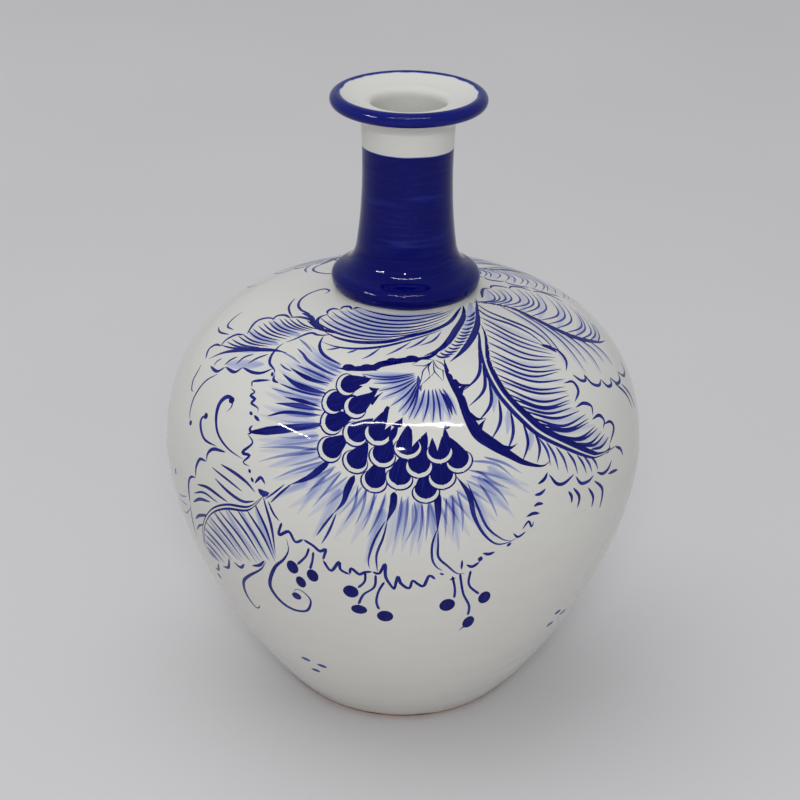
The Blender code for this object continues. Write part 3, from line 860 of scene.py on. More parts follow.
    def far_right_leaf(self, brush: Brush) -> None:
        """Leaf going round the right shoulder."""
        rib = [(60, 101), (67, 94.5), (70.5, 87), (70, 79), (70.5, 70), (74, 60), (82, 51), (88, 47)]
        tips = [(88, 100), (94, 94), (98, 86), (99.4, 78), (99, 69), (97, 60), (94, 53)]
        for i in range(7):
            a, b = along(rib, 0.12 + 0.12 * i), along(tips, i / 6)
            brush.pull(a, mixed(a, b, 0.5), b, width=3.6, load=FAINT, soft=0.6, fade=0.4)
        brush.fan(rib[:-1], tips, 17, -0.10, width=(1.0, 0.85, 0.5), load=MIDDLE, fade=0.2)
        for path in (
            [(68, 92), (66, 82), (64, 72), (60, 61), (57.6, 55)],
            [(69, 84), (67.6, 74), (66, 64), (63, 52), (62.4, 48)],
            [(69.6, 76), (69, 68), (68, 58), (66, 50)],
            [(70.6, 69), (71.4, 60), (71, 52), (69, 44)],
            [(74, 60), (75.4, 52), (74.6, 45)],
            [(78, 55), (79, 48), (78.4, 41)],
        ):
            brush.pull(*path, width=(1.2, 0.95, 0.6), load=FIRM, fade=0.3)
            brush.pull(*[(u - 0.8, v) for u, v in path], width=2.8, load=FAINT, soft=0.6, fade=0.4)
        for lobe in (
            [(56.6, 51), (58, 47.2), (60, 46.4), (61, 48.4)],
            [(61, 48.4), (61.4, 43.8), (64, 41.4), (66.4, 42.6)],
            [(66.4, 42.6), (67.4, 38.8), (70, 37.8), (71.6, 40)],
            [(71.6, 40), (73.4, 36), (76.6, 35.4), (78.4, 38)],
            [(78.4, 38), (81, 34), (85, 34), (87, 38)],
            [(70, 99.6), (80, 101), (88, 100.6), (90, 98)],
            [(90, 98), (95.4, 97), (97, 93), (95.6, 90)],
            [(95.6, 90), (99.6, 88.6), (100.6, 84), (99, 80)],
            [(99, 80), (101, 76), (100.6, 71), (98.6, 66)],
            [(76, 34), (79, 27), (80, 20)],
            [(72, 37), (76, 29), (77, 22)],
        ):
            brush.pull(*lobe, width=NORMAL, load=FIRM)
        brush.pull(*rib, width=(1.6, 2.4, 2.4, 2.4, 2.6, 2.6, 2.2, 1.2), load=FIRM, fade=0.0)

    def stem(self, brush: Brush) -> None:
        """Stalk with short rungs, from the collar to the flower's head."""
        left = [(49, 102), (38.5, 95.6), (28, 89.4), (22, 84.6), (15, 79), (7.5, 75.6)]
        right = [(66, 101.6), (51.5, 96), (37, 86.4), (29.6, 81), (22.4, 75.6), (16.6, 71.6)]
        middle = [mixed(a, b, 0.5) for a, b in zip(left, right)]
        brush.pull(*middle, width=(4.0, 6.4, 6.4, 6.0, 6.0, 4.6), load=0.0, wipes=True, tip=Tip.EVEN)
        brush.pull(*middle[:4], width=(3.4, 4.0, 3.4, 2.0), load=WASH, soft=0.5, fade=0.5)
        for i in range(13):
            t = 0.24 + 0.058 * i
            a, b = along(left, t), along(right, t - 0.05)
            brush.pull(mixed(a, b, 0.22), (mixed(a, b, 0.5)[0] - 0.9, mixed(a, b, 0.5)[1] - 0.9),
                       mixed(a, b, 0.8),
                       width=1.1, load=FIRM)
        brush.pull(*left, width=(2.0, 2.6, 2.6, 2.6, 2.6, 1.8), load=FIRM, fade=0.0)
        brush.pull(*right, width=(1.4, 1.8, 2.2, 2.6, 2.6, 1.6), load=FIRM, fade=0.0)

    def bud(self, brush: Brush) -> None:
        """Striped bud hanging at the lower left."""
        rib = [(-33, 10.6), (-37, 3.7), (-43.6, 0.6), (-48.5, -3.8), (-52.3, -10), (-55.3, -17.6),
               (-57.2, -25.7), (-57, -30)]
        bottoms = [(-30, -12), (-30, -16), (-33.5, -17.6), (-37, -21), (-41, -23), (-46, -25), (-50, -31),
                   (-53.4, -32)]
        for i in range(8):
            a, b = along(rib, 0.08 + 0.12 * i), along(bottoms, 0.1 + 0.12 * i)
            brush.pull(a, mixed(a, b, 0.5), b, width=3.2, load=WASH, soft=0.6, fade=0.35)
        brush.fan(rib, bottoms, 14, 0.07, width=(1.3, 1.25, 0.6), load=FIRM, fade=0.2)
        for path, w in (
            ([(-47, 16), (-42, 15.3), (-38, 13.6), (-35.3, 11)], NORMAL),
            ([(-48.5, 9.4), (-43, 6.6), (-38.7, 5.6), (-35.3, 7.5)], NORMAL),
            ([(-50, 13), (-44, 11.4), (-39, 9.4)], FINE),
            ([(-55.7, 2), (-50.8, 3.8), (-43.6, 2.5)], NORMAL),
            ([(-57.4, -3), (-52.6, 0.6), (-47, 0)], FINE),
            ([(-58.3, -7.6), (-54.5, -3.5), (-50, -1.6)], NORMAL),
            ([(-59, -16), (-56, -12), (-50.8, -8)], NORMAL),
            ([(-60, -22), (-57.6, -18), (-54.6, -15)], FINE),
            ([(-46, 21.3), (-50.4, 20), (-52.3, 17), (-52.3, 13.8)], NORMAL),
            ([(-52.3, 13.8), (-55, 13), (-56.4, 8.8), (-56.4, 4.4)], NORMAL),
            ([(-56.4, 4.4), (-58.7, 3), (-60, -0.6), (-60.4, -10)], NORMAL),
            ([(-60.4, -10), (-61.3, -17.6), (-61.9, -23), (-61.7, -27.6)], FINE),
            ([(-57, -38.8), (-55, -38), (-54, -36), (-53, -33)], NORMAL),
            ([(-51, -33), (-48, -31), (-46.3, -25)], NORMAL),
            ([(-44.8, -25.7), (-42.5, -27), (-40.6, -23.8)], NORMAL),
            ([(-38, -23), (-35.4, -21), (-33.5, -17.6)], NORMAL),
            ([(-62, -8), (-65.6, -10.6), (-69, -12)], HAIR),
            ([(-62.5, -12.6), (-69, -14.5)], HAIR),
            ([(-61, -12.6), (-65, -18), (-69, -20)], HAIR),
        ):
            brush.pull(*path, width=w, load=FIRM if w > HAIR else THIN)
        for side in (-0.7, 0.7):
            brush.pull(*[(u + side * 0.5, v + side * 0.9) for u, v in rib],
                       width=(1.8, 2.0, 1.9, 1.8, 1.7, 1.5, 1.2, 0.8), load=FIRM)
        brush.pull(*rib, width=0.7, load=0.0, wipes=True)
        brush.dab((-56.4, -42.6), 1.2, 1.4)
        brush.dab((-69, -2.3), 1.0, 1.3)

    def tendrils(self, brush: Brush) -> None:
        """Curling tendrils with dotted ends."""
        for path, w in (
            ([(-40, 21.6), (-45.5, 23), (-50, 26), (-52.7, 30.6), (-54, 36), (-53, 39.7), (-50.8, 40.6),
              (-49.3, 38), (-50.2, 35)], (0.7, 0.9, 1.0, 1.1, 1.3, 1.9, 2.4, 1.7, 0.8)),
            ([(-49.3, 21.6), (-54.6, 21.3), (-57.6, 24.4), (-58.4, 27.5), (-56.8, 29.7)],
             (0.7, 1.0, 1.2, 1.8, 1.6)),
            ([(-26.7, -3.8), (-26.3, -8.8), (-27.8, -13.8), (-30.5, -18.8), (-32.7, -25.7), (-33.5, -31),
              (-32.3, -36), (-30, -39.4), (-27, -40.4), (-24, -38.8), (-22.5, -34.4), (-22.4, -31.3),
              (-24, -28.2), (-25.7, -27.8), (-26.6, -29.6)],
             (0.8, 1.1, 1.4, 1.6, 1.7, 1.6, 1.6, 1.7, 1.7, 1.5, 1.3, 1.3, 1.2, 1.1, 1.0)),
            ([(-33, -17.6), (-35.3, -23), (-40, -29.4), (-43, -34.4), (-44.2, -40), (-44, -45),
              (-42.5, -48.8), (-41, -48), (-39.9, -45.4)], (0.8, 1.1, 1.2, 1.3, 1.4, 1.5, 1.6, 1.5, 0.9)),
        ):
            brush.pull(*path, width=w, load=FIRM, fade=0.1)
        brush.dab((-26, -31.6), 1.9, 1.9)
        brush.dab((-50.4, 40), 1.5, 1.3)
        brush.dab((-57, 29.4), 1.3, 1.2)

    def dots(self, brush: Brush) -> None:
        """Groups of three dots low on the belly."""
        for centre in ((-31.4, -75.3), (-25.9, -77), (-29.9, -83), (49.9, -54.4), (54, -57.9), (49.6, -61.6)):
            brush.dab(centre, 2.0, 1.2, load=FIRM, fade=0.35)

    def paint(self, brush: Brush) -> None:
        """Paints all the leaves, then the lines over them."""
        self.far_right_leaf(brush)
        self.upper_left_leaf(brush)
        self.second_left_leaf(brush)
        self.right_leaf(brush)
        self.stem(brush)
        self.bud(brush)
        self.tendrils(brush)
        self.dots(brush)


# --------------------------------------------------------------------------- painted mesh


@dataclass
class PaintedSkin:
    """Outer skin of the belly, cut along every brush stroke so that the colour has crisp edges."""

    surface: GlazedSurface
    strokes: list[Stroke]
    first_deg: float = -258.0
    last_deg: float = 102.0
    middle_deg: float = -78.0
    cell_mm: float = 5.0

    FOOT_GAP_MM, COLLAR_GAP_MM, SIDE_GAP_DEG = 0.3, 0.2, 0.1  # bare margins that no stroke enters
    BRISTLE_SHIFT = 7.31  # moves the bristle pattern on from one stroke to the next

    def __post_init__(self) -> None:
        """Cuts the flat skin and works out the colour at every corner."""
        self.flat, self.triangles, self.load, self.pull = self._cut()

    def _grid(self) -> tuple[list[Vector], list[tuple[int, int]]]:
        """Even points under the brushwork, and the lines that the skin is split along.

        Returns:
            Flat points, and lines as pairs of point numbers.
        """
        scale = math.radians(1.0) * self.surface.shape.girth_r
        columns = round((self.last_deg - self.first_deg) * scale / self.cell_mm / 4) * 4
        ups = np.concatenate([
            np.linspace(self.surface.lowest, 0.0, round(-self.surface.lowest / self.cell_mm) + 1),
            np.linspace(0.0, self.surface.highest, round(self.surface.highest / self.cell_mm) + 1)[1:],
        ])
        arounds = np.linspace(self.first_deg, self.last_deg, columns + 1) * scale
        points = [Vector((x, y)) for x in arounds for y in ups]
        rows, girth = len(ups), int(np.argmin(np.abs(ups)))
        lines = [(i * rows + girth, (i + 1) * rows + girth) for i in range(columns)]
        for column in (0, columns // 2, columns):
            lines += [(column * rows + j, column * rows + j + 1) for j in range(rows - 1)]
        for row in (0, rows - 1):
            lines += [(i * rows + row, (i + 1) * rows + row) for i in range(columns)]
        return points, lines

    def _cut(self) -> tuple[np.ndarray, np.ndarray, np.ndarray, np.ndarray]:
        """Triangulates the skin with every stroke's outline in it.

        Returns:
            Flat points, triangles, cobalt load per corner, and brush coordinates per corner.
        """
        points, lines = self._grid()
        centre_lines = [stroke.line(self.surface) for stroke in self.strokes]
        low, high = self.surface.lowest + self.FOOT_GAP_MM, self.surface.highest - self.COLLAR_GAP_MM
        scale = math.radians(1.0) * self.surface.shape.girth_r
        first = (self.first_deg + self.SIDE_GAP_DEG) * scale
        last = (self.last_deg - self.SIDE_GAP_DEG) * scale
        for flat, _share, half in centre_lines:
            squeeze = np.asarray(self.surface.squeeze(flat[:, 1]))
            run = np.gradient(flat, axis=0)
            run[:, 0] *= squeeze
            run /= np.linalg.norm(run, axis=1)[:, None] + 1e-9
            side = np.stack([-run[:, 1] / squeeze, run[:, 0]], axis=1) * half[:, None]
            count = len(flat)
            left, right = len(points), len(points) + count
            for ring in (flat + side, flat - side, flat):
                start = len(points)
                points += [Vector((min(last, max(first, x)), min(high, max(low, y)))) for x, y in ring]
                lines += [(start + i, start + i + 1) for i in range(count - 1)]
            lines += [(left, right), (left + count - 1, right + count - 1)]
        verts, _edges, faces, _v, _e, _f = delaunay_2d_cdt(points, lines, [], 0, 1e-5, False)
        flat_points = np.array([tuple(v) for v in verts])
        triangles = np.array([f for f in faces if len(f) == 3])
        corners = flat_points[triangles]
        flipped = np.cross(corners[:, 1] - corners[:, 0], corners[:, 2] - corners[:, 0]) < 0
        triangles[flipped] = triangles[flipped][:, ::-1]
        middles = flat_points[triangles].mean(axis=1)
        load = np.zeros((len(triangles), 3))
        pull = np.zeros((len(triangles), 3, 3))
        for number, (stroke, centre_line) in enumerate(zip(self.strokes, centre_lines)):
            reach = 1.5 * centre_line[2].max() / float(self.surface.squeeze(centre_line[0][:, 1].max()))
            above = middles > centre_line[0].min(axis=0) - reach
            below = middles < centre_line[0].max(axis=0) + reach
            near = np.flatnonzero((above & below).all(axis=1))
            if not len(near):
                continue
            _colour, _where, covered = self._lay(stroke, centre_line, middles[near][:, None, :])
            chosen = near[covered[:, 0]]
            if not len(chosen):
                continue
            colour, where, _covered = self._lay(stroke, centre_line, flat_points[triangles[chosen]])
            if stroke.wipes:
                load[chosen] = 0.0
                continue
            load[chosen] = 1.0 - (1.0 - load[chosen]) * (1.0 - colour)
            pull[chosen, :, :2] = where
            pull[chosen, :, 2] = number * self.BRISTLE_SHIFT
        return flat_points, triangles, load, pull

    def _lay(
        self, stroke: Stroke, centre_line: tuple[np.ndarray, np.ndarray, np.ndarray], corners: np.ndarray
    ) -> tuple[np.ndarray, np.ndarray, np.ndarray]:
        """Colour that one stroke leaves at each place.

        Args:
            stroke: the stroke.
            centre_line: its flat points, shares and half widths.
            corners: flat points, shape (n, k, 2).

        Returns:
            Cobalt load, shape (n, k), millimetres along and across, shape (n, k, 2), and whether the
            place is under the stroke, shape (n, k).
        """
        flat, share, half = centre_line
        squeeze = float(self.surface.squeeze(flat[:, 1].mean()))
        scale = np.array([squeeze, 1.0])
        line, places = flat * scale, corners.reshape(-1, 2) * scale
        start, step = line[:-1], np.diff(line, axis=0)
        length = np.hypot(*step.T) + 1e-9
        offset = places[:, None, :] - start[None]
        t = np.clip((offset * step[None]).sum(-1) / length**2, 0, 1)
        gap = offset - t[..., None] * step[None]
        distance = np.hypot(gap[..., 0], gap[..., 1])
        best = distance.argmin(axis=1)
        rows = np.arange(len(places))
        t = t[rows, best]
        side = np.sign(np.cross(step[best], gap[rows, best]))
        across = distance[rows, best] * side
        portion = share[best] + t * (share[best + 1] - share[best])
        wide = half[best] + t * (half[best + 1] - half[best])
        edge = np.clip(np.abs(across) / (wide + 1e-6), 0, 1)
        colour = stroke.load * (1.0 - stroke.fade * portion) * (1.0 - stroke.soft * edge)
        run = portion * length.sum()
        shape = corners.shape[:2]
        covered = np.abs(across) < wide
        return colour.reshape(shape), np.stack([run, across], axis=-1).reshape(*shape,
                                                                               2), covered.reshape(shape)


# --------------------------------------------------------------------------- finishes


def socket_of(group: bpy.types.NodeTree, name: str, kind: str, way: str,
              value: float | Colour | None = None) -> None:
    """Adds a named socket to a node group.

    Args:
        group: the group.
        name: the socket's name.
        kind: Float, Color or Vector.
        way: INPUT or OUTPUT.
        value: starting value of an input.
    """
    socket = group.interface.new_socket(name, in_out=way, socket_type=f"NodeSocket{kind}")
    if value is not None:
        socket.default_value = (*value, 1.0) if kind == "Color" else value


class Nodes:
    """Short way to place and wire nodes in one tree."""

    def __init__(self, tree: bpy.types.NodeTree) -> None:
        """Keeps the tree.

        Args:
            tree: a material's or group's node tree.
        """
        self.tree = tree

    def add(self, kind: str, links: dict[str | int, object] | None = None,
            **settings: object) -> bpy.types.Node:
        """Places a node.

        Args:
            kind: node type without the ShaderNode prefix.
            links: input name or number to a socket to link, or a value to set.
            settings: node properties.

        Returns:
            The node.
        """
        node = self.tree.nodes.new("ShaderNode" + kind)
        for name, value in settings.items():
            setattr(node, name, value)
        for name, value in (links or {}).items():
            if isinstance(value, bpy.types.NodeSocket):
                self.tree.links.new(value, node.inputs[name])
            else:
                node.inputs[name].default_value = value
        return node

    def math(self, operation: str, *values: object) -> bpy.types.NodeSocket:
        """Places a Math node.

        Args:
            operation: what it does.
            values: sockets or numbers.

        Returns:
            The socket of its result.
        """
        return self.add("Math", dict(enumerate(values)), operation=operation).outputs[0]

    def uneven(self, noise: bpy.types.NodeSocket, amount: object) -> bpy.types.NodeSocket:
        """Centres a noise on zero and scales it.

        Args:
            noise: value from 0 to 1.
            amount: socket or number to scale by.

        Returns:
            The socket of the result.
        """
        return self.math("MULTIPLY", self.math("SUBTRACT", noise, 0.5), amount)

    def span(self, value: object, low: float, high: float, to_low: float,
             to_high: float) -> bpy.types.NodeSocket:
        """Maps a range smoothly on to another.

        Args:
            value: socket to map.
            low: start of its range.
            high: end of its range.
            to_low: result at the start.
            to_high: result at the end.

        Returns:
            The socket of the result.
        """
        node = self.add("MapRange", {"Value": value, "From Min": low, "From Max": high, "To Min": to_low,
                                     "To Max": to_high}, interpolation_type="SMOOTHSTEP")
        return node.outputs[0]

    def noise(self, vector: object, scale: float, detail: float = 2.0,
              roughness: float = 0.5) -> bpy.types.NodeSocket:
        """Places a noise texture.

        Args:
            vector: where it is read.
            scale: how fine it is.
            detail: number of finer layers.
            roughness: how strong those are.

        Returns:
            The socket of its value.
        """
        node = self.add("TexNoise", {"Vector": vector, "Scale": scale, "Detail": detail,
                                     "Roughness": roughness})
        return node.outputs["Fac"]


@dataclass(frozen=True)
class CobaltColour:
    """Cobalt under a clear gloss, from a pale wash to a loaded brush."""

    glaze: Colour = (0.660, 0.650, 0.610)
    faint: Colour = (0.430, 0.460, 0.600)
    wash: Colour = (0.235, 0.275, 0.500)
    middle: Colour = (0.045, 0.060, 0.300)
    firm: Colour = (0.008, 0.014, 0.190)
    dark: Colour = (0.0, 0.0008, 0.105)

    def group(self) -> bpy.types.NodeTree:
        """Builds the group that turns brush load into colour, with bristle streaks.

        Returns:
            The group, the same one each time.
        """
        made = bpy.data.node_groups.get("cobalt_brushwork")
        if made:
            return made
        tree = bpy.data.node_groups.new("cobalt_brushwork", "ShaderNodeTree")
        socket_of(tree, "Load", "Float", "INPUT", 0.0)
        socket_of(tree, "Bristles", "Vector", "INPUT")
        socket_of(tree, "Streak", "Float", "INPUT", 0.3)
        socket_of(tree, "Color", "Color", "OUTPUT")
        socket_of(tree, "Wetness", "Float", "OUTPUT")
        nodes = Nodes(tree)
        came, goes = tree.nodes.new("NodeGroupInput"), tree.nodes.new("NodeGroupOutput")
        load, bristles, streak = came.outputs["Load"], came.outputs["Bristles"], came.outputs["Streak"]
        fine = nodes.noise(bristles, 1.0, 3.0, 0.6)
        spread = nodes.uneven(fine, streak)
        body = nodes.math("MULTIPLY", spread, nodes.math("MULTIPLY", load, 2.0))
        full = nodes.add("Math", {0: nodes.math("ADD", load, body), 1: 0.0}, operation="MAXIMUM",
                         use_clamp=True)
        ramp = nodes.add("ValToRGB", {"Fac": full.outputs[0]})
        stops = ((0.0, self.glaze), (0.16, self.faint), (0.34, self.wash), (0.62, self.middle),
                 (0.82, self.firm),
                 (1.0, self.dark))
        bar = ramp.color_ramp
        while len(bar.elements) < len(stops):
            bar.elements.new(0.5)
        for element, (place, colour) in zip(bar.elements, stops):
            element.position, element.color = place, (*colour, 1.0)
        tree.links.new(ramp.outputs["Color"], goes.inputs["Color"])
        tree.links.new(full.outputs[0], goes.inputs["Wetness"])
        return tree


@dataclass(frozen=True)
class GlazeSkin:
    """Pooled tin glaze: long throwing waves, small ripples, rare pinholes and iron specks."""

    wave_mm: float = 26.0
    ripple_mm: float = 6.0

    def group(self) -> bpy.types.NodeTree:
        """Builds the group that gives the glaze its unevenness.

        Returns:
            The group, the same one each time.
        """
        made = bpy.data.node_groups.get("tin_glaze_skin")
        if made:
            return made
        tree = bpy.data.node_groups.new("tin_glaze_skin", "ShaderNodeTree")
        socket_of(tree, "Color", "Color", "INPUT", (0.7, 0.7, 0.66))
        socket_of(tree, "Mottle", "Float", "INPUT", 0.04)
        socket_of(tree, "Specks", "Float", "INPUT", 0.5)
        socket_of(tree, "Gloss", "Float", "INPUT", 0.12)
        socket_of(tree, "Color", "Color", "OUTPUT")
        socket_of(tree, "Roughness", "Float", "OUTPUT")
        socket_of(tree, "Height", "Float", "OUTPUT")
        nodes = Nodes(tree)
        came, goes = tree.nodes.new("NodeGroupInput"), tree.nodes.new("NodeGroupOutput")
        place = nodes.add("TexCoord").outputs["Object"]
        rings = nodes.add("Mapping", {"Vector": place, "Scale": (1.0, 1.0, 2.6)}).outputs[0]
        wave = nodes.noise(rings, 1.0 / (self.wave_mm * MM), 1.0)
        ripple = nodes.noise(place, 1.0 / (self.ripple_mm * MM), 1.5)
        cloud = nodes.noise(place, 22.0, 3.0, 0.6)
        cells = nodes.add("TexVoronoi", {"Vector": place, "Scale": 95.0, "Randomness": 1.0})
        speck = nodes.span(cells.outputs["Distance"], 0.012, 0.05, 1.0, 0.0)
        chosen = nodes.span(nodes.noise(place, 60.0, 0.0), 0.60, 0.66, 0.0, 1.0)
        dot = nodes.math("MULTIPLY", nodes.math("MULTIPLY", speck, chosen), came.outputs["Specks"])
        tint = nodes.math("ADD", 1.0, nodes.uneven(cloud, came.outputs["Mottle"]))
        shade = nodes.add("MixRGB", {0: 1.0, 1: came.outputs["Color"]}, blend_type="MULTIPLY")
        grey = nodes.add("CombineColor", {0: tint, 1: tint, 2: tint})
        tree.links.new(grey.outputs[0], shade.inputs[2])
        iron = nodes.add("MixRGB", {0: dot, 1: shade.outputs[0], 2: (0.22, 0.15, 0.10, 1.0)})
        gloss = nodes.math("ADD", came.outputs["Gloss"], nodes.math("MULTIPLY", cloud, 0.04))
        rough = nodes.math("ADD", gloss, nodes.math("MULTIPLY", dot, 0.2))
        height = nodes.math("ADD", wave, nodes.math("MULTIPLY", ripple, 0.10))
        pitted = nodes.math("SUBTRACT", height, nodes.math("MULTIPLY", dot, 0.10))
        tree.links.new(iron.outputs[0], goes.inputs["Color"])
        tree.links.new(rough, goes.inputs["Roughness"])
        tree.links.new(pitted, goes.inputs["Height"])
        return tree


@dataclass(frozen=True)
class GlossFinish:
    """Values that are the same all over a glossy glaze."""

    coat: float = 0.0
    coat_roughness: float = 0.06
    ior: float = 1.5
    mirror: float = 0.17  # specular level
    wave_depth: float = 0.00042
    mottle: float = 0.07


class Finish:
    """Base of every finish: an empty material with a Principled shader."""

    def __init__(self, name: str, gloss: GlossFinish) -> None:
        """Starts the material.

        Args:
            name: the material's name.
            gloss: its uniform values.
        """
        self.material = bpy.data.materials.new(name)
        self.material.use_nodes = True
        self.nodes = Nodes(self.material.node_tree)
        self.shader = self.material.node_tree.nodes["Principled BSDF"]
        self.shader.inputs["Coat Weight"].default_value = gloss.coat
        self.shader.inputs["Coat Roughness"].default_value = gloss.coat_roughness
        self.shader.inputs["IOR"].default_value = gloss.ior
        self.shader.inputs["Specular IOR Level"].default_value = gloss.mirror
        self.gloss = gloss

    def group(self, tree: bpy.types.NodeTree, links: dict[str | int, object]) -> bpy.types.Node:
        """Places a node group.

        Args:
            tree: the group.
            links: input name to a socket to link, or a value to set.

        Returns:
            Its node.
        """
        return self.nodes.add("Group", links, node_tree=tree)

    def wire(self, colour: bpy.types.NodeSocket, rough: bpy.types.NodeSocket, height: bpy.types.NodeSocket,
             depth: float) -> None:
        """Joins colour, roughness and height to the shader.

        Args:
            colour: base colour.
            rough: roughness.
            height: height for the bump.
            depth: depth of the bump in metres.
        """
        links = self.material.node_tree.links
        bump = self.nodes.add("Bump", {"Height": height, "Distance": depth, "Strength": 1.0})
        links.new(bump.outputs[0], self.shader.inputs["Normal"])
        links.new(colour, self.shader.inputs["Base Color"])
        links.new(rough, self.shader.inputs["Roughness"])

    def glaze(self, load: bpy.types.NodeSocket, bristles: bpy.types.NodeSocket, streak: float, specks: float,
              roughness: float) -> None:
        """Lays cobalt and glaze over the whole piece.

        Args:
            load: cobalt load.
            bristles: coordinates along and across the bristles.
            streak: how much the bristles show.
            specks: strength of the pinholes.
            roughness: least roughness.
        """
        cobalt = self.group(CobaltColour().group(), {"Load": load, "Bristles": bristles, "Streak": streak})
        skin = self.group(GlazeSkin().group(), {"Color": cobalt.outputs["Color"], "Mottle": self.gloss.mottle,
                                                "Specks": specks, "Gloss": roughness})
        self.wire(skin.outputs["Color"], skin.outputs["Roughness"], skin.outputs["Height"],
                  self.gloss.wave_depth)


class BrushedGlaze(Finish):
    """White glaze with the cobalt that the skin's attributes carry."""

    def __init__(self) -> None:
        """Builds the finish."""
        super().__init__("brushed_tin_glaze", GlossFinish())
        load = self.nodes.add("Attribute", attribute_name="cobalt").outputs["Fac"]
        where = self.nodes.add("Attribute", attribute_name="brush").outputs["Vector"]
        bristles = self.nodes.add("Mapping", {"Vector": where, "Scale": (0.10, 1.9, 1.0)}).outputs[0]
        self.glaze(load, bristles, streak=0.34, specks=0.35, roughness=0.035)


@dataclass(frozen=True)
class Band:
    """A painted band with an uneven edge, in millimetres: up to a height, or inward to a radius on top."""

    low: float
    high: float = math.inf
    inner_r: float | None = None
    waver: float = 0.7
    blur: float = 0.35


class BandedGlaze(Finish):
    """White glaze with a ring of cobalt brushed on the wheel."""

    def __init__(self, name: str, band: Band, load: float = 1.0) -> None:
        """Builds the finish.

        Args:
            name: the material's name.
            band: where the colour lies.
            load: cobalt load of the band.
        """
        super().__init__(name, GlossFinish())
        nodes = self.nodes
        place = nodes.add("TexCoord").outputs["Object"]
        split = nodes.add("SeparateXYZ", {0: place}).outputs
        height = nodes.math("DIVIDE", split[2], MM)
        around = nodes.add("Mapping", {"Vector": place, "Scale": (1.0, 1.0, 0.15)}).outputs[0]
        waver = nodes.uneven(nodes.noise(around, 34.0, 2.0), 4.0 * band.waver)
        level = nodes.math("ADD", height, waver)
        above = nodes.span(level, band.low - band.blur, band.low + band.blur, 0.0, 1.0)
        if band.inner_r is None:
            within = nodes.span(level, band.high - band.blur, band.high + band.blur, 1.0, 0.0)
        else:
            flat = nodes.add("CombineXYZ", {0: split[0], 1: split[1]}).outputs[0]
            metres = nodes.add("VectorMath", {0: flat}, operation="LENGTH").outputs["Value"]
            radius = nodes.math("DIVIDE", metres, MM)
            jag = nodes.uneven(nodes.noise(place, 120.0, 2.0), 1.6)
            within = nodes.span(nodes.math("ADD", radius, jag), band.inner_r - 0.4, band.inner_r + 0.4, 0.0,
                                1.0)
        mask = nodes.math("MULTIPLY", above, within)
        lines = nodes.add("Mapping", {"Vector": place, "Scale": (60.0, 60.0, 900.0)}).outputs[0]
        broad = nodes.add("Mapping", {"Vector": place, "Scale": (28.0, 28.0, 150.0)}).outputs[0]
        patch = nodes.noise(broad, 1.0, 2.0, 0.55)
        worn = nodes.span(patch, 0.58, 0.84, 1.0, 0.80)
        amount = nodes.math("MULTIPLY", nodes.math("MULTIPLY", mask, load), worn)
        self.glaze(amount, lines, streak=0.15, specks=0.3, roughness=0.04)


class BareClay(Finish):
    """Fired red clay of the foot, with grog, rub marks and a lick of glaze down its side."""

    GLAZE_FROM_MM = 1.5
    GRAIN_DEPTH = 0.00022

    def __init__(self) -> None:
        """Builds the finish."""
        super().__init__("fired_red_clay", GlossFinish())
        nodes = self.nodes
        place = nodes.add("TexCoord").outputs["Object"]
        height = nodes.math("DIVIDE", nodes.add("SeparateXYZ", {0: place}).outputs[2], MM)
        grain = nodes.noise(place, 900.0, 4.0, 0.65)
        cloud = nodes.noise(place, 70.0, 3.0, 0.6)
        clay = nodes.add("ValToRGB", {"Fac": nodes.math("MULTIPLY", nodes.math("ADD", grain, cloud), 0.5)})
        bar = clay.color_ramp
        bar.elements[0].position, bar.elements[0].color = 0.30, (0.20, 0.085, 0.045, 1.0)
        bar.elements[1].position, bar.elements[1].color = 0.70, (0.46, 0.24, 0.15, 1.0)
        edge = nodes.math("ADD", height, nodes.uneven(cloud, 3.0))
        glazed = nodes.span(edge, self.GLAZE_FROM_MM, self.GLAZE_FROM_MM + 0.7, 0.0, 1.0)
        white = nodes.add("MixRGB", {0: glazed, 1: clay.outputs["Color"], 2: (*CobaltColour().glaze, 1.0)})
        rough = nodes.span(glazed, 0.0, 1.0, 0.86, 0.16)
        bumps = nodes.math("MULTIPLY", grain, nodes.span(glazed, 0.0, 1.0, 1.0, 0.1))
        self.wire(white.outputs[0], rough, bumps, self.GRAIN_DEPTH)


# --------------------------------------------------------------------------- pieces


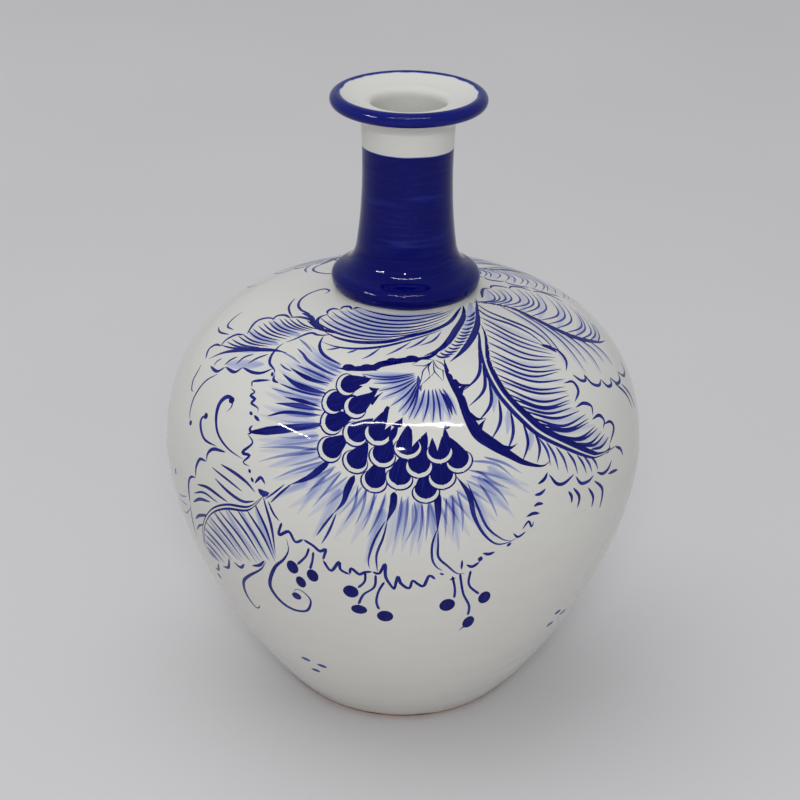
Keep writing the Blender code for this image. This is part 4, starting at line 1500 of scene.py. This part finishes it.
@dataclass
class Piece:
    """One clay piece of the pot, standing for one node of the frame."""

    node: str
    shape: PotShape
    segments: int = 192

    def lathe(self, outline: np.ndarray, map_box: tuple[float, float]) -> tuple[np.ndarray, list[list[int]],
                                                                                np.ndarray]:
        """Turns an outline round the axis.

        Args:
            outline: rows of (radius, height) in millimetres, walked with the clay on the left.
            map_box: lowest and highest place of these faces on the bake map.

        Returns:
            Points in metres, faces as point numbers, and a map position for every face corner.
        """
        n, rows = self.segments, len(outline)
        angle = 2 * math.pi * np.arange(n) / n
        radius, height = outline[:, 0][None], outline[:, 1][None]
        grid = np.stack([radius * np.sin(angle)[:, None], -radius * np.cos(angle)[:, None],
                         np.broadcast_to(height, (n, rows))], axis=-1).reshape(-1, 3) * MM
        run = np.concatenate([[0.0], np.cumsum(np.hypot(*np.diff(outline, axis=0).T))])
        up = map_box[0] + (map_box[1] - map_box[0]) * run / run[-1]
        faces, corners = [], []
        for i in range(n):
            j = (i + 1) % n
            a, b = i / n, (i + 1) / n
            for k in range(rows - 1):
                face = [i * rows + k, j * rows + k, j * rows + k + 1, i * rows + k + 1]
                places = [(a, up[k]), (b, up[k]), (b, up[k + 1]), (a, up[k + 1])]
                if outline[k, 0] < 1e-6:
                    face, places = face[1:], places[1:]
                    face[0] = k
                elif outline[k + 1, 0] < 1e-6:
                    face, places = face[:2] + [k + 1], places[:3]
                faces.append(face)
                corners += places
        return grid, faces, np.array(corners)

    def make(self, points: np.ndarray, faces: list[list[int]], places: np.ndarray, finish: Finish,
             normals: np.ndarray | None = None) -> bpy.types.Object:
        """Makes the mesh and its object.

        Args:
            points: rows of (x, y, z) in metres.
            faces: point numbers of every face.
            places: bake map position of every face corner.
            finish: the finish it wears.
            normals: given corner normals of the leading faces.

        Returns:
            The object.
        """
        mesh = bpy.data.meshes.new(self.node)
        mesh.from_pydata(thrown_by_hand(points).tolist(), [], faces)
        layer = mesh.uv_layers.new(name=BAKE_MAP)
        layer.data.foreach_set("uv", places.astype(np.float32).ravel())
        mesh.materials.append(finish.material)
        mesh.shade_smooth()
        mesh.set_sharp_from_angle(angle=math.radians(SHARP_DEG))
        if normals is not None:
            current = np.zeros(len(mesh.loops) * 3, np.float32)
            mesh.corner_normals.foreach_get("vector", current)
            current = current.reshape(-1, 3)
            current[: len(normals)] = normals
            mesh.normals_split_custom_set(current.tolist())
        piece = bpy.data.objects.new(self.node + "_visual", mesh)
        bpy.context.scene.collection.objects.link(piece)
        return piece

    def place(self, piece: bpy.types.Object) -> None:
        """Ties the piece to the frame and reports it.

        Args:
            piece: the object.
        """
        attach(piece, ROOT)
        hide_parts(self.node)
        log.info("%s: %d faces", piece.name, len(piece.data.polygons))


class Body(Piece):
    """Half of the belly: painted skin outside, plain glaze inside."""

    def build(self, skin: PaintedSkin, upper: bool, inside: np.ndarray, finish: Finish) -> None:
        """Builds one half.

        Args:
            skin: the cut and painted outer skin of the whole belly.
            upper: True for the half above the girth.
            inside: outline of everything else, from the skin's open edge round to the other, in millimetres.
            finish: the painted glaze.
        """
        middles = skin.flat[skin.triangles].mean(axis=1)
        chosen = (middles[:, 1] > 0) == upper
        triangles = skin.triangles[chosen]
        used, corner_ids = np.unique(triangles, return_inverse=True)
        corner_ids = corner_ids.reshape(-1, 3)
        points, normals = skin.surface.places(skin.flat[used])
        low = 0.0 if upper else skin.surface.lowest
        high = skin.surface.highest if upper else 0.0
        girth = self.shape.girth_r * math.pi
        flat = skin.flat[triangles]
        back = middles[chosen][:, 0] < math.radians(skin.middle_deg) * self.shape.girth_r
        start = np.where(back, math.radians(skin.first_deg),
                         math.radians(skin.middle_deg)) * self.shape.girth_r
        across = (flat[..., 0] - start[:, None]) / girth
        up = (flat[..., 1] - low) / (high - low)
        up = np.where(back[:, None], BACK_STRIP_FROM + STRIP_HEIGHT * up,
                      FRONT_STRIP_FROM + STRIP_HEIGHT * up)
        sideways = STRIP_SIDE_GAP + (1.0 - 2.0 * STRIP_SIDE_GAP) * across
        places = np.stack([sideways, up], axis=-1).reshape(-1, 2)
        inner_points, inner_faces, inner_places = self.lathe(inside, INSIDE_STRIP)
        faces = corner_ids.tolist() + [[i + len(points) for i in face] for face in inner_faces]
        piece = self.make(np.concatenate([points, inner_points]), faces,
                          np.concatenate([places, inner_places]),
                          finish, normals[corner_ids.ravel()])
        corners = len(piece.data.loops)
        load = np.zeros(corners, np.float32)
        pull = np.zeros((corners, 3), np.float32)
        load[: triangles.size] = skin.load[chosen].ravel()
        pull[: triangles.size] = skin.pull[chosen].reshape(-1, 3)
        piece.data.attributes.new("cobalt", "FLOAT", "CORNER").data.foreach_set("value", load)
        piece.data.attributes.new("brush", "FLOAT_VECTOR", "CORNER").data.foreach_set("vector", pull.ravel())
        self.place(piece)


@dataclass
class Neck(Piece):
    """Tube with a rolled collar at its root, sizes in millimetres."""

    low_r: float = 19.3
    flare_z: float = 190.2
    crest_r: float = 24.8
    crest_z: float = 180.2
    widest_z: float = 175.9
    seat_z: float = 170.9
    spigot_z: float = 167.6
    spigot_gap: float = 0.9

    def build(self, finish: Finish) -> None:
        """Builds the neck.

        Args:
            finish: the glaze it wears.
        """
        s = self.shape
        low_r, flare_z, crest_r, spigot_r = self.low_r, self.flare_z, self.crest_r, s.neck_r - self.spigot_gap
        shaft = bezier([(s.neck_r, s.neck_top_z), (17.3, 225.0), (16.94, 206.9), (low_r, flare_z)], 24)
        flare = bezier([(low_r, flare_z), (low_r + 0.5, 185.0), (21.6, 182.0), (crest_r, self.crest_z)], 12)
        crest = bezier([(crest_r, self.crest_z), (26.9, 179.0), (s.collar_r, 178.2),
                        (s.collar_r, self.widest_z)], 12)
        under = bezier([(s.collar_r, self.widest_z), (s.collar_r, 173.4), (28.0, 171.5), (26.2, self.seat_z)],
                       10)
        foot = np.array([(spigot_r, self.seat_z), (spigot_r, self.spigot_z), (s.bore_r, self.spigot_z)])
        bore = np.array([(s.bore_r, 190.0), (s.bore_r, 220.0), (s.bore_r, s.neck_top_z)])
        outline = np.concatenate([bore, shaft, flare[1:], crest[1:], under[1:], foot])
        points, faces, places = self.lathe(outline, WHOLE_MAP)
        self.place(self.make(points, [f[::-1] for f in faces], _reversed(places, faces), finish))


@dataclass
class MouthLip(Piece):
    """Flared, dished flange with a rolled rim, sizes in millimetres."""

    dish_r: float = 17.5
    dish_depth: float = 2.8
    throat_depth: float = 7.2

    def build(self, finish: Finish) -> None:
        """Builds the lip.

        Args:
            finish: the glaze it wears.
        """
        s = self.shape
        dish_start = (self.dish_r, s.total_h - self.dish_depth)
        roll = (s.lip_r - s.lip_roll_r, s.total_h - s.lip_roll_r)
        rim = arc(roll, s.lip_roll_r, 122.0, -100.0, 24)
        dish = bezier([dish_start, (20.5, s.total_h - 2.7), (24.0, s.total_h - 1.4), tuple(rim[0])], 10)
        throat = bezier([(s.bore_r, s.total_h - self.throat_depth), (s.bore_r, s.total_h - 4.2),
                         (15.1, s.total_h - 3.2), dish_start], 10)
        low = rim[-1]
        cove = bezier([tuple(low), (low[0] - 3.6, low[1] - 0.9), (s.neck_r + 0.8, s.neck_top_z + 3.2),
                       (s.neck_r, s.neck_top_z)], 12)
        start = np.array([(s.neck_r, s.neck_top_z), (s.bore_r, s.neck_top_z)])
        outline = np.concatenate([start[1:], throat, dish[1:], rim[1:], cove[1:], start[1:]])
        points, faces, places = self.lathe(outline, WHOLE_MAP)
        self.place(self.make(points, [f[::-1] for f in faces], _reversed(places, faces), finish))


@dataclass
class FootRing(Piece):
    """Turned ring that the pot stands on, sizes in millimetres."""

    outer_round: float = 0.7
    inner_round: float = 0.6
    bevel: float = 1.5

    def build(self, finish: Finish) -> None:
        """Builds the foot.

        Args:
            finish: the clay it shows.
        """
        s, outer_round, inner_round = self.shape, self.outer_round, self.inner_round
        top_r = s.foot_r + s.foot_top / math.tan(s.foot_slope)
        outer = arc((s.foot_r - 0.5, outer_round), outer_round, -90.0, -10.0, 5)
        outline = np.concatenate([
            [(s.foot_inner_r, s.foot_top), (s.foot_inner_r, 0.8)],
            arc((s.foot_inner_r + inner_round, inner_round), inner_round, 180.0, 270.0, 5),
            np.linspace((s.foot_inner_r + self.bevel, 0.0), (s.foot_r - self.bevel, 0.0), 5),
            outer,
            [(s.foot_r + 1.6, 1.7), (top_r, s.foot_top), (s.foot_inner_r, s.foot_top)],
        ])
        points, faces, places = self.lathe(outline, WHOLE_MAP)
        self.place(self.make(points, faces, places, finish))


def _reversed(places: np.ndarray, faces: list[list[int]]) -> np.ndarray:
    """Map positions for faces that are walked the other way round.

    Args:
        places: map position of every face corner.
        faces: point numbers of every face.

    Returns:
        The positions in the new order.
    """
    out, start = [], 0
    for face in faces:
        out.append(places[start : start + len(face)][::-1])
        start += len(face)
    return np.concatenate(out)


def wall_inside(shape: PotShape, upper: bool) -> np.ndarray:
    """Outline of the inner wall of one half, from one open edge of the skin to the other.

    Args:
        shape: sizes of the pot.
        upper: True for the half above the girth.

    Returns:
        Rows of (radius, height) in millimetres.
    """
    line = shape.dome(40) if upper else shape.belly(40)
    run = np.gradient(line, axis=0)
    run /= np.linalg.norm(run, axis=1)[:, None]
    side = np.stack([run[:, 1], -run[:, 0]], axis=1)
    side[side[:, 0] > 0] *= -1
    inner = line + side * shape.wall
    inner[0] = (shape.girth_r - shape.wall, shape.girth_z)
    if upper:
        inner = inner[inner[:, 0] > shape.neck_r + 4]
        opening = shape.neck_r - 0.6
        rise = (shape.collar_r - opening) * math.tan(shape.shoulder_slope)
        end = [(opening, shape.shoulder_z + rise - shape.wall), (opening, shape.shoulder_z + rise),
               tuple(line[-1])]
        return np.concatenate([line[:1], inner, end])
    inner = inner[inner[:, 1] > shape.floor_z + 4]
    corner = bezier([tuple(inner[-1]), (40.0, shape.floor_z + 0.6), (38.0, shape.floor_z),
                     (28.0, shape.floor_z)], 8)
    under = [(0.0, shape.foot_top), (shape.foot_inner_r, shape.foot_top), tuple(line[-1])]
    return np.concatenate([line[:1], inner, corner[1:], [(0.0, shape.floor_z)], under])


# --------------------------------------------------------------------------- studio


@dataclass(frozen=True)
class Lamp:
    """One soft lamp aimed at a point."""

    name: str
    place: tuple[float, float, float]
    size: tuple[float, float]
    watts: float
    aim: tuple[float, float, float] = (0.0, 0.0, 0.13)
    colour: Colour = (1.0, 1.0, 1.0)
    mirrored: bool = True  # a mirrored lamp makes highlights only, any other one gives light only

    def hang(self) -> None:
        """Adds the lamp to the scene."""
        light = bpy.data.lights.new(self.name, "AREA")
        light.shape, light.size, light.size_y = "RECTANGLE", self.size[0], self.size[1]
        light.energy, light.color = self.watts, self.colour
        lamp = bpy.data.objects.new(self.name, light)
        bpy.context.scene.collection.objects.link(lamp)
        lamp.location = self.place
        lamp.visible_glossy = self.mirrored
        lamp.visible_diffuse = not self.mirrored
        lamp.rotation_euler = (Vector(self.aim) - Vector(self.place)).to_track_quat("-Z", "Y").to_euler()


@dataclass(frozen=True)
class Studio:
    """Pale floor, soft lamps and the camera."""

    floor_colour: Colour = (0.640, 0.625, 0.630)
    floor_half: float = 4.0
    floor_cells: int = 8
    room_colour: Colour = (0.93, 0.96, 1.0)
    room_strength: float = 0.50
    camera_distance: float = 0.9226
    camera_aim_z: float = 0.1188
    camera_rise_deg: float = 24.906
    lens_mm: float = 103.53
    turn_deg: float = 0.0898
    tip_deg: float = 0.1469
    roll_deg: float = 1.0025

    def floor(self) -> None:
        """Lays a pale paper floor."""
        mesh = bpy.data.meshes.new("studio_floor")
        n = self.floor_cells
        grid = np.linspace(-self.floor_half, self.floor_half, n + 1)
        points = [(x, y, 0.0) for y in grid for x in grid]
        faces = [[j * (n + 1) + i, j * (n + 1) + i + 1, (j + 1) * (n + 1) + i + 1, (j + 1) * (n + 1) + i]
                 for j in range(n) for i in range(n)]
        mesh.from_pydata(points, [], faces)
        paper = Finish("studio_paper", GlossFinish())
        nodes = paper.nodes
        place = nodes.add("TexCoord").outputs["Object"]
        tone = nodes.span(nodes.noise(place, 3.0, 2.0), 0.3, 0.7, 0.985, 1.015)
        colour = nodes.add("MixRGB", {0: 1.0, 1: (*self.floor_colour, 1.0)}, blend_type="MULTIPLY")
        grey = nodes.add("CombineColor", {0: tone, 1: tone, 2: tone})
        paper.material.node_tree.links.new(grey.outputs[0], colour.inputs[2])
        rough = nodes.span(nodes.noise(place, 400.0, 2.0), 0.0, 1.0, 0.82, 0.95)
        paper.wire(colour.outputs[0], rough, nodes.noise(place, 900.0, 3.0), 0.00003)
        mesh.materials.append(paper.material)
        sheet = bpy.data.objects.new("studio_floor", mesh)
        bpy.context.scene.collection.objects.link(sheet)

    def camera(self) -> None:
        """Sets the camera at its viewing angle."""
        rise = math.radians(self.camera_rise_deg)
        away = Vector((0.0, -math.cos(rise), math.sin(rise)))
        ahead, right = -away, Vector((1.0, 0.0, 0.0))
        up = right.cross(ahead)
        turn = Matrix.Rotation(math.radians(self.turn_deg), 3, up)
        ahead, right = turn @ ahead, turn @ right
        tip = Matrix.Rotation(math.radians(self.tip_deg), 3, right)
        ahead, up = tip @ ahead, tip @ up
        roll = math.radians(self.roll_deg)
        right, up = right * math.cos(roll) + up * math.sin(roll), up * math.cos(roll) - right * math.sin(roll)
        lens = bpy.data.cameras.new("camera")
        lens.lens, lens.sensor_width = self.lens_mm, 36.0
        lens.clip_start, lens.clip_end = 0.05, 50.0
        camera = bpy.data.objects.new("camera", lens)
        bpy.context.scene.collection.objects.link(camera)
        basis = Matrix((right, up, -ahead)).transposed().to_4x4()
        basis.translation = Vector((0.0, 0.0, self.camera_aim_z)) + away * self.camera_distance
        camera.matrix_world = basis
        bpy.context.scene.camera = camera

    def lights(self) -> None:
        """Hangs the lamps and sets the room's fill."""
        world = bpy.data.worlds.new("studio_room")
        world.use_nodes = True
        room = world.node_tree.nodes["Background"]
        room.inputs["Color"].default_value = (*self.room_colour, 1.0)
        room.inputs["Strength"].default_value = self.room_strength
        bpy.context.scene.world = world
        for lamp in (
            Lamp("overhead_softbox", (-0.45, 0.30, 2.1), (2.2, 2.2), 15.5, mirrored=False),
            Lamp("front_softbox", (0.0, -1.55, 1.05), (0.40, 0.30), 10.0, mirrored=False),
            Lamp("window_strip", (0.02, -0.68, 1.27), (1.06, 0.018), 8.0),
            Lamp("left_strip", (-0.99, -0.58, 0.87), (0.42, 0.030), 6.0),
            Lamp("round_lamp", (-0.03, -1.24, 1.10), (0.06, 0.06), 2.4),
        ):
            lamp.hang()

    def build(self) -> None:
        """Sets up everything round the pot."""
        self.camera()
        self.floor()
        self.lights()
        scene = bpy.context.scene
        scene.view_settings.view_transform = "Standard"
        scene.view_settings.look = "None"
        log.info("studio ready")


# Seed of the hand, turn around the pot in degrees, and size around it, below zero when mirrored
FRONT_SPRAY = (11, 0.0, 1.0)
BACK_SPRAY = (47, -178.0, -0.79)


def decoration() -> list[Stroke]:
    """All brush strokes: the front flower with its leaves, and the same spray mirrored on the back.

    Returns:
        The strokes in the order they are painted.
    """
    strokes: list[Stroke] = []
    for seed, turn, size in (FRONT_SPRAY, BACK_SPRAY):
        brush = Brush(seed)
        Foliage().paint(brush)
        Blossom().paint(brush)
        for stroke in brush.strokes:
            stroke.path = [(u * size + turn, v) for u, v in stroke.path]
        strokes += brush.strokes
    return strokes


def main() -> None:
    """Builds the pot and its studio, piece by piece."""
    logging.basicConfig(level=logging.INFO, format="%(name)s %(message)s")
    shape = PotShape()
    skin = PaintedSkin(GlazedSurface(shape), decoration())
    log.info("skin: %d triangles, %d strokes", len(skin.triangles), len(skin.strokes))
    brushed = BrushedGlaze()
    Body("lower_body", shape).build(skin, False, wall_inside(shape, False), brushed)
    Body("upper_body", shape).build(skin, True, wall_inside(shape, True), brushed)
    FootRing("foot_ring", shape).build(BareClay())
    Neck("neck", shape).build(BandedGlaze("neck_glaze", Band(low=171.8, high=228.8)))
    MouthLip("mouth_lip", shape).build(BandedGlaze("lip_glaze", Band(low=243.6, inner_r=26.1), load=0.9))
    Studio().build()


if __name__ == "__main__":
    main()
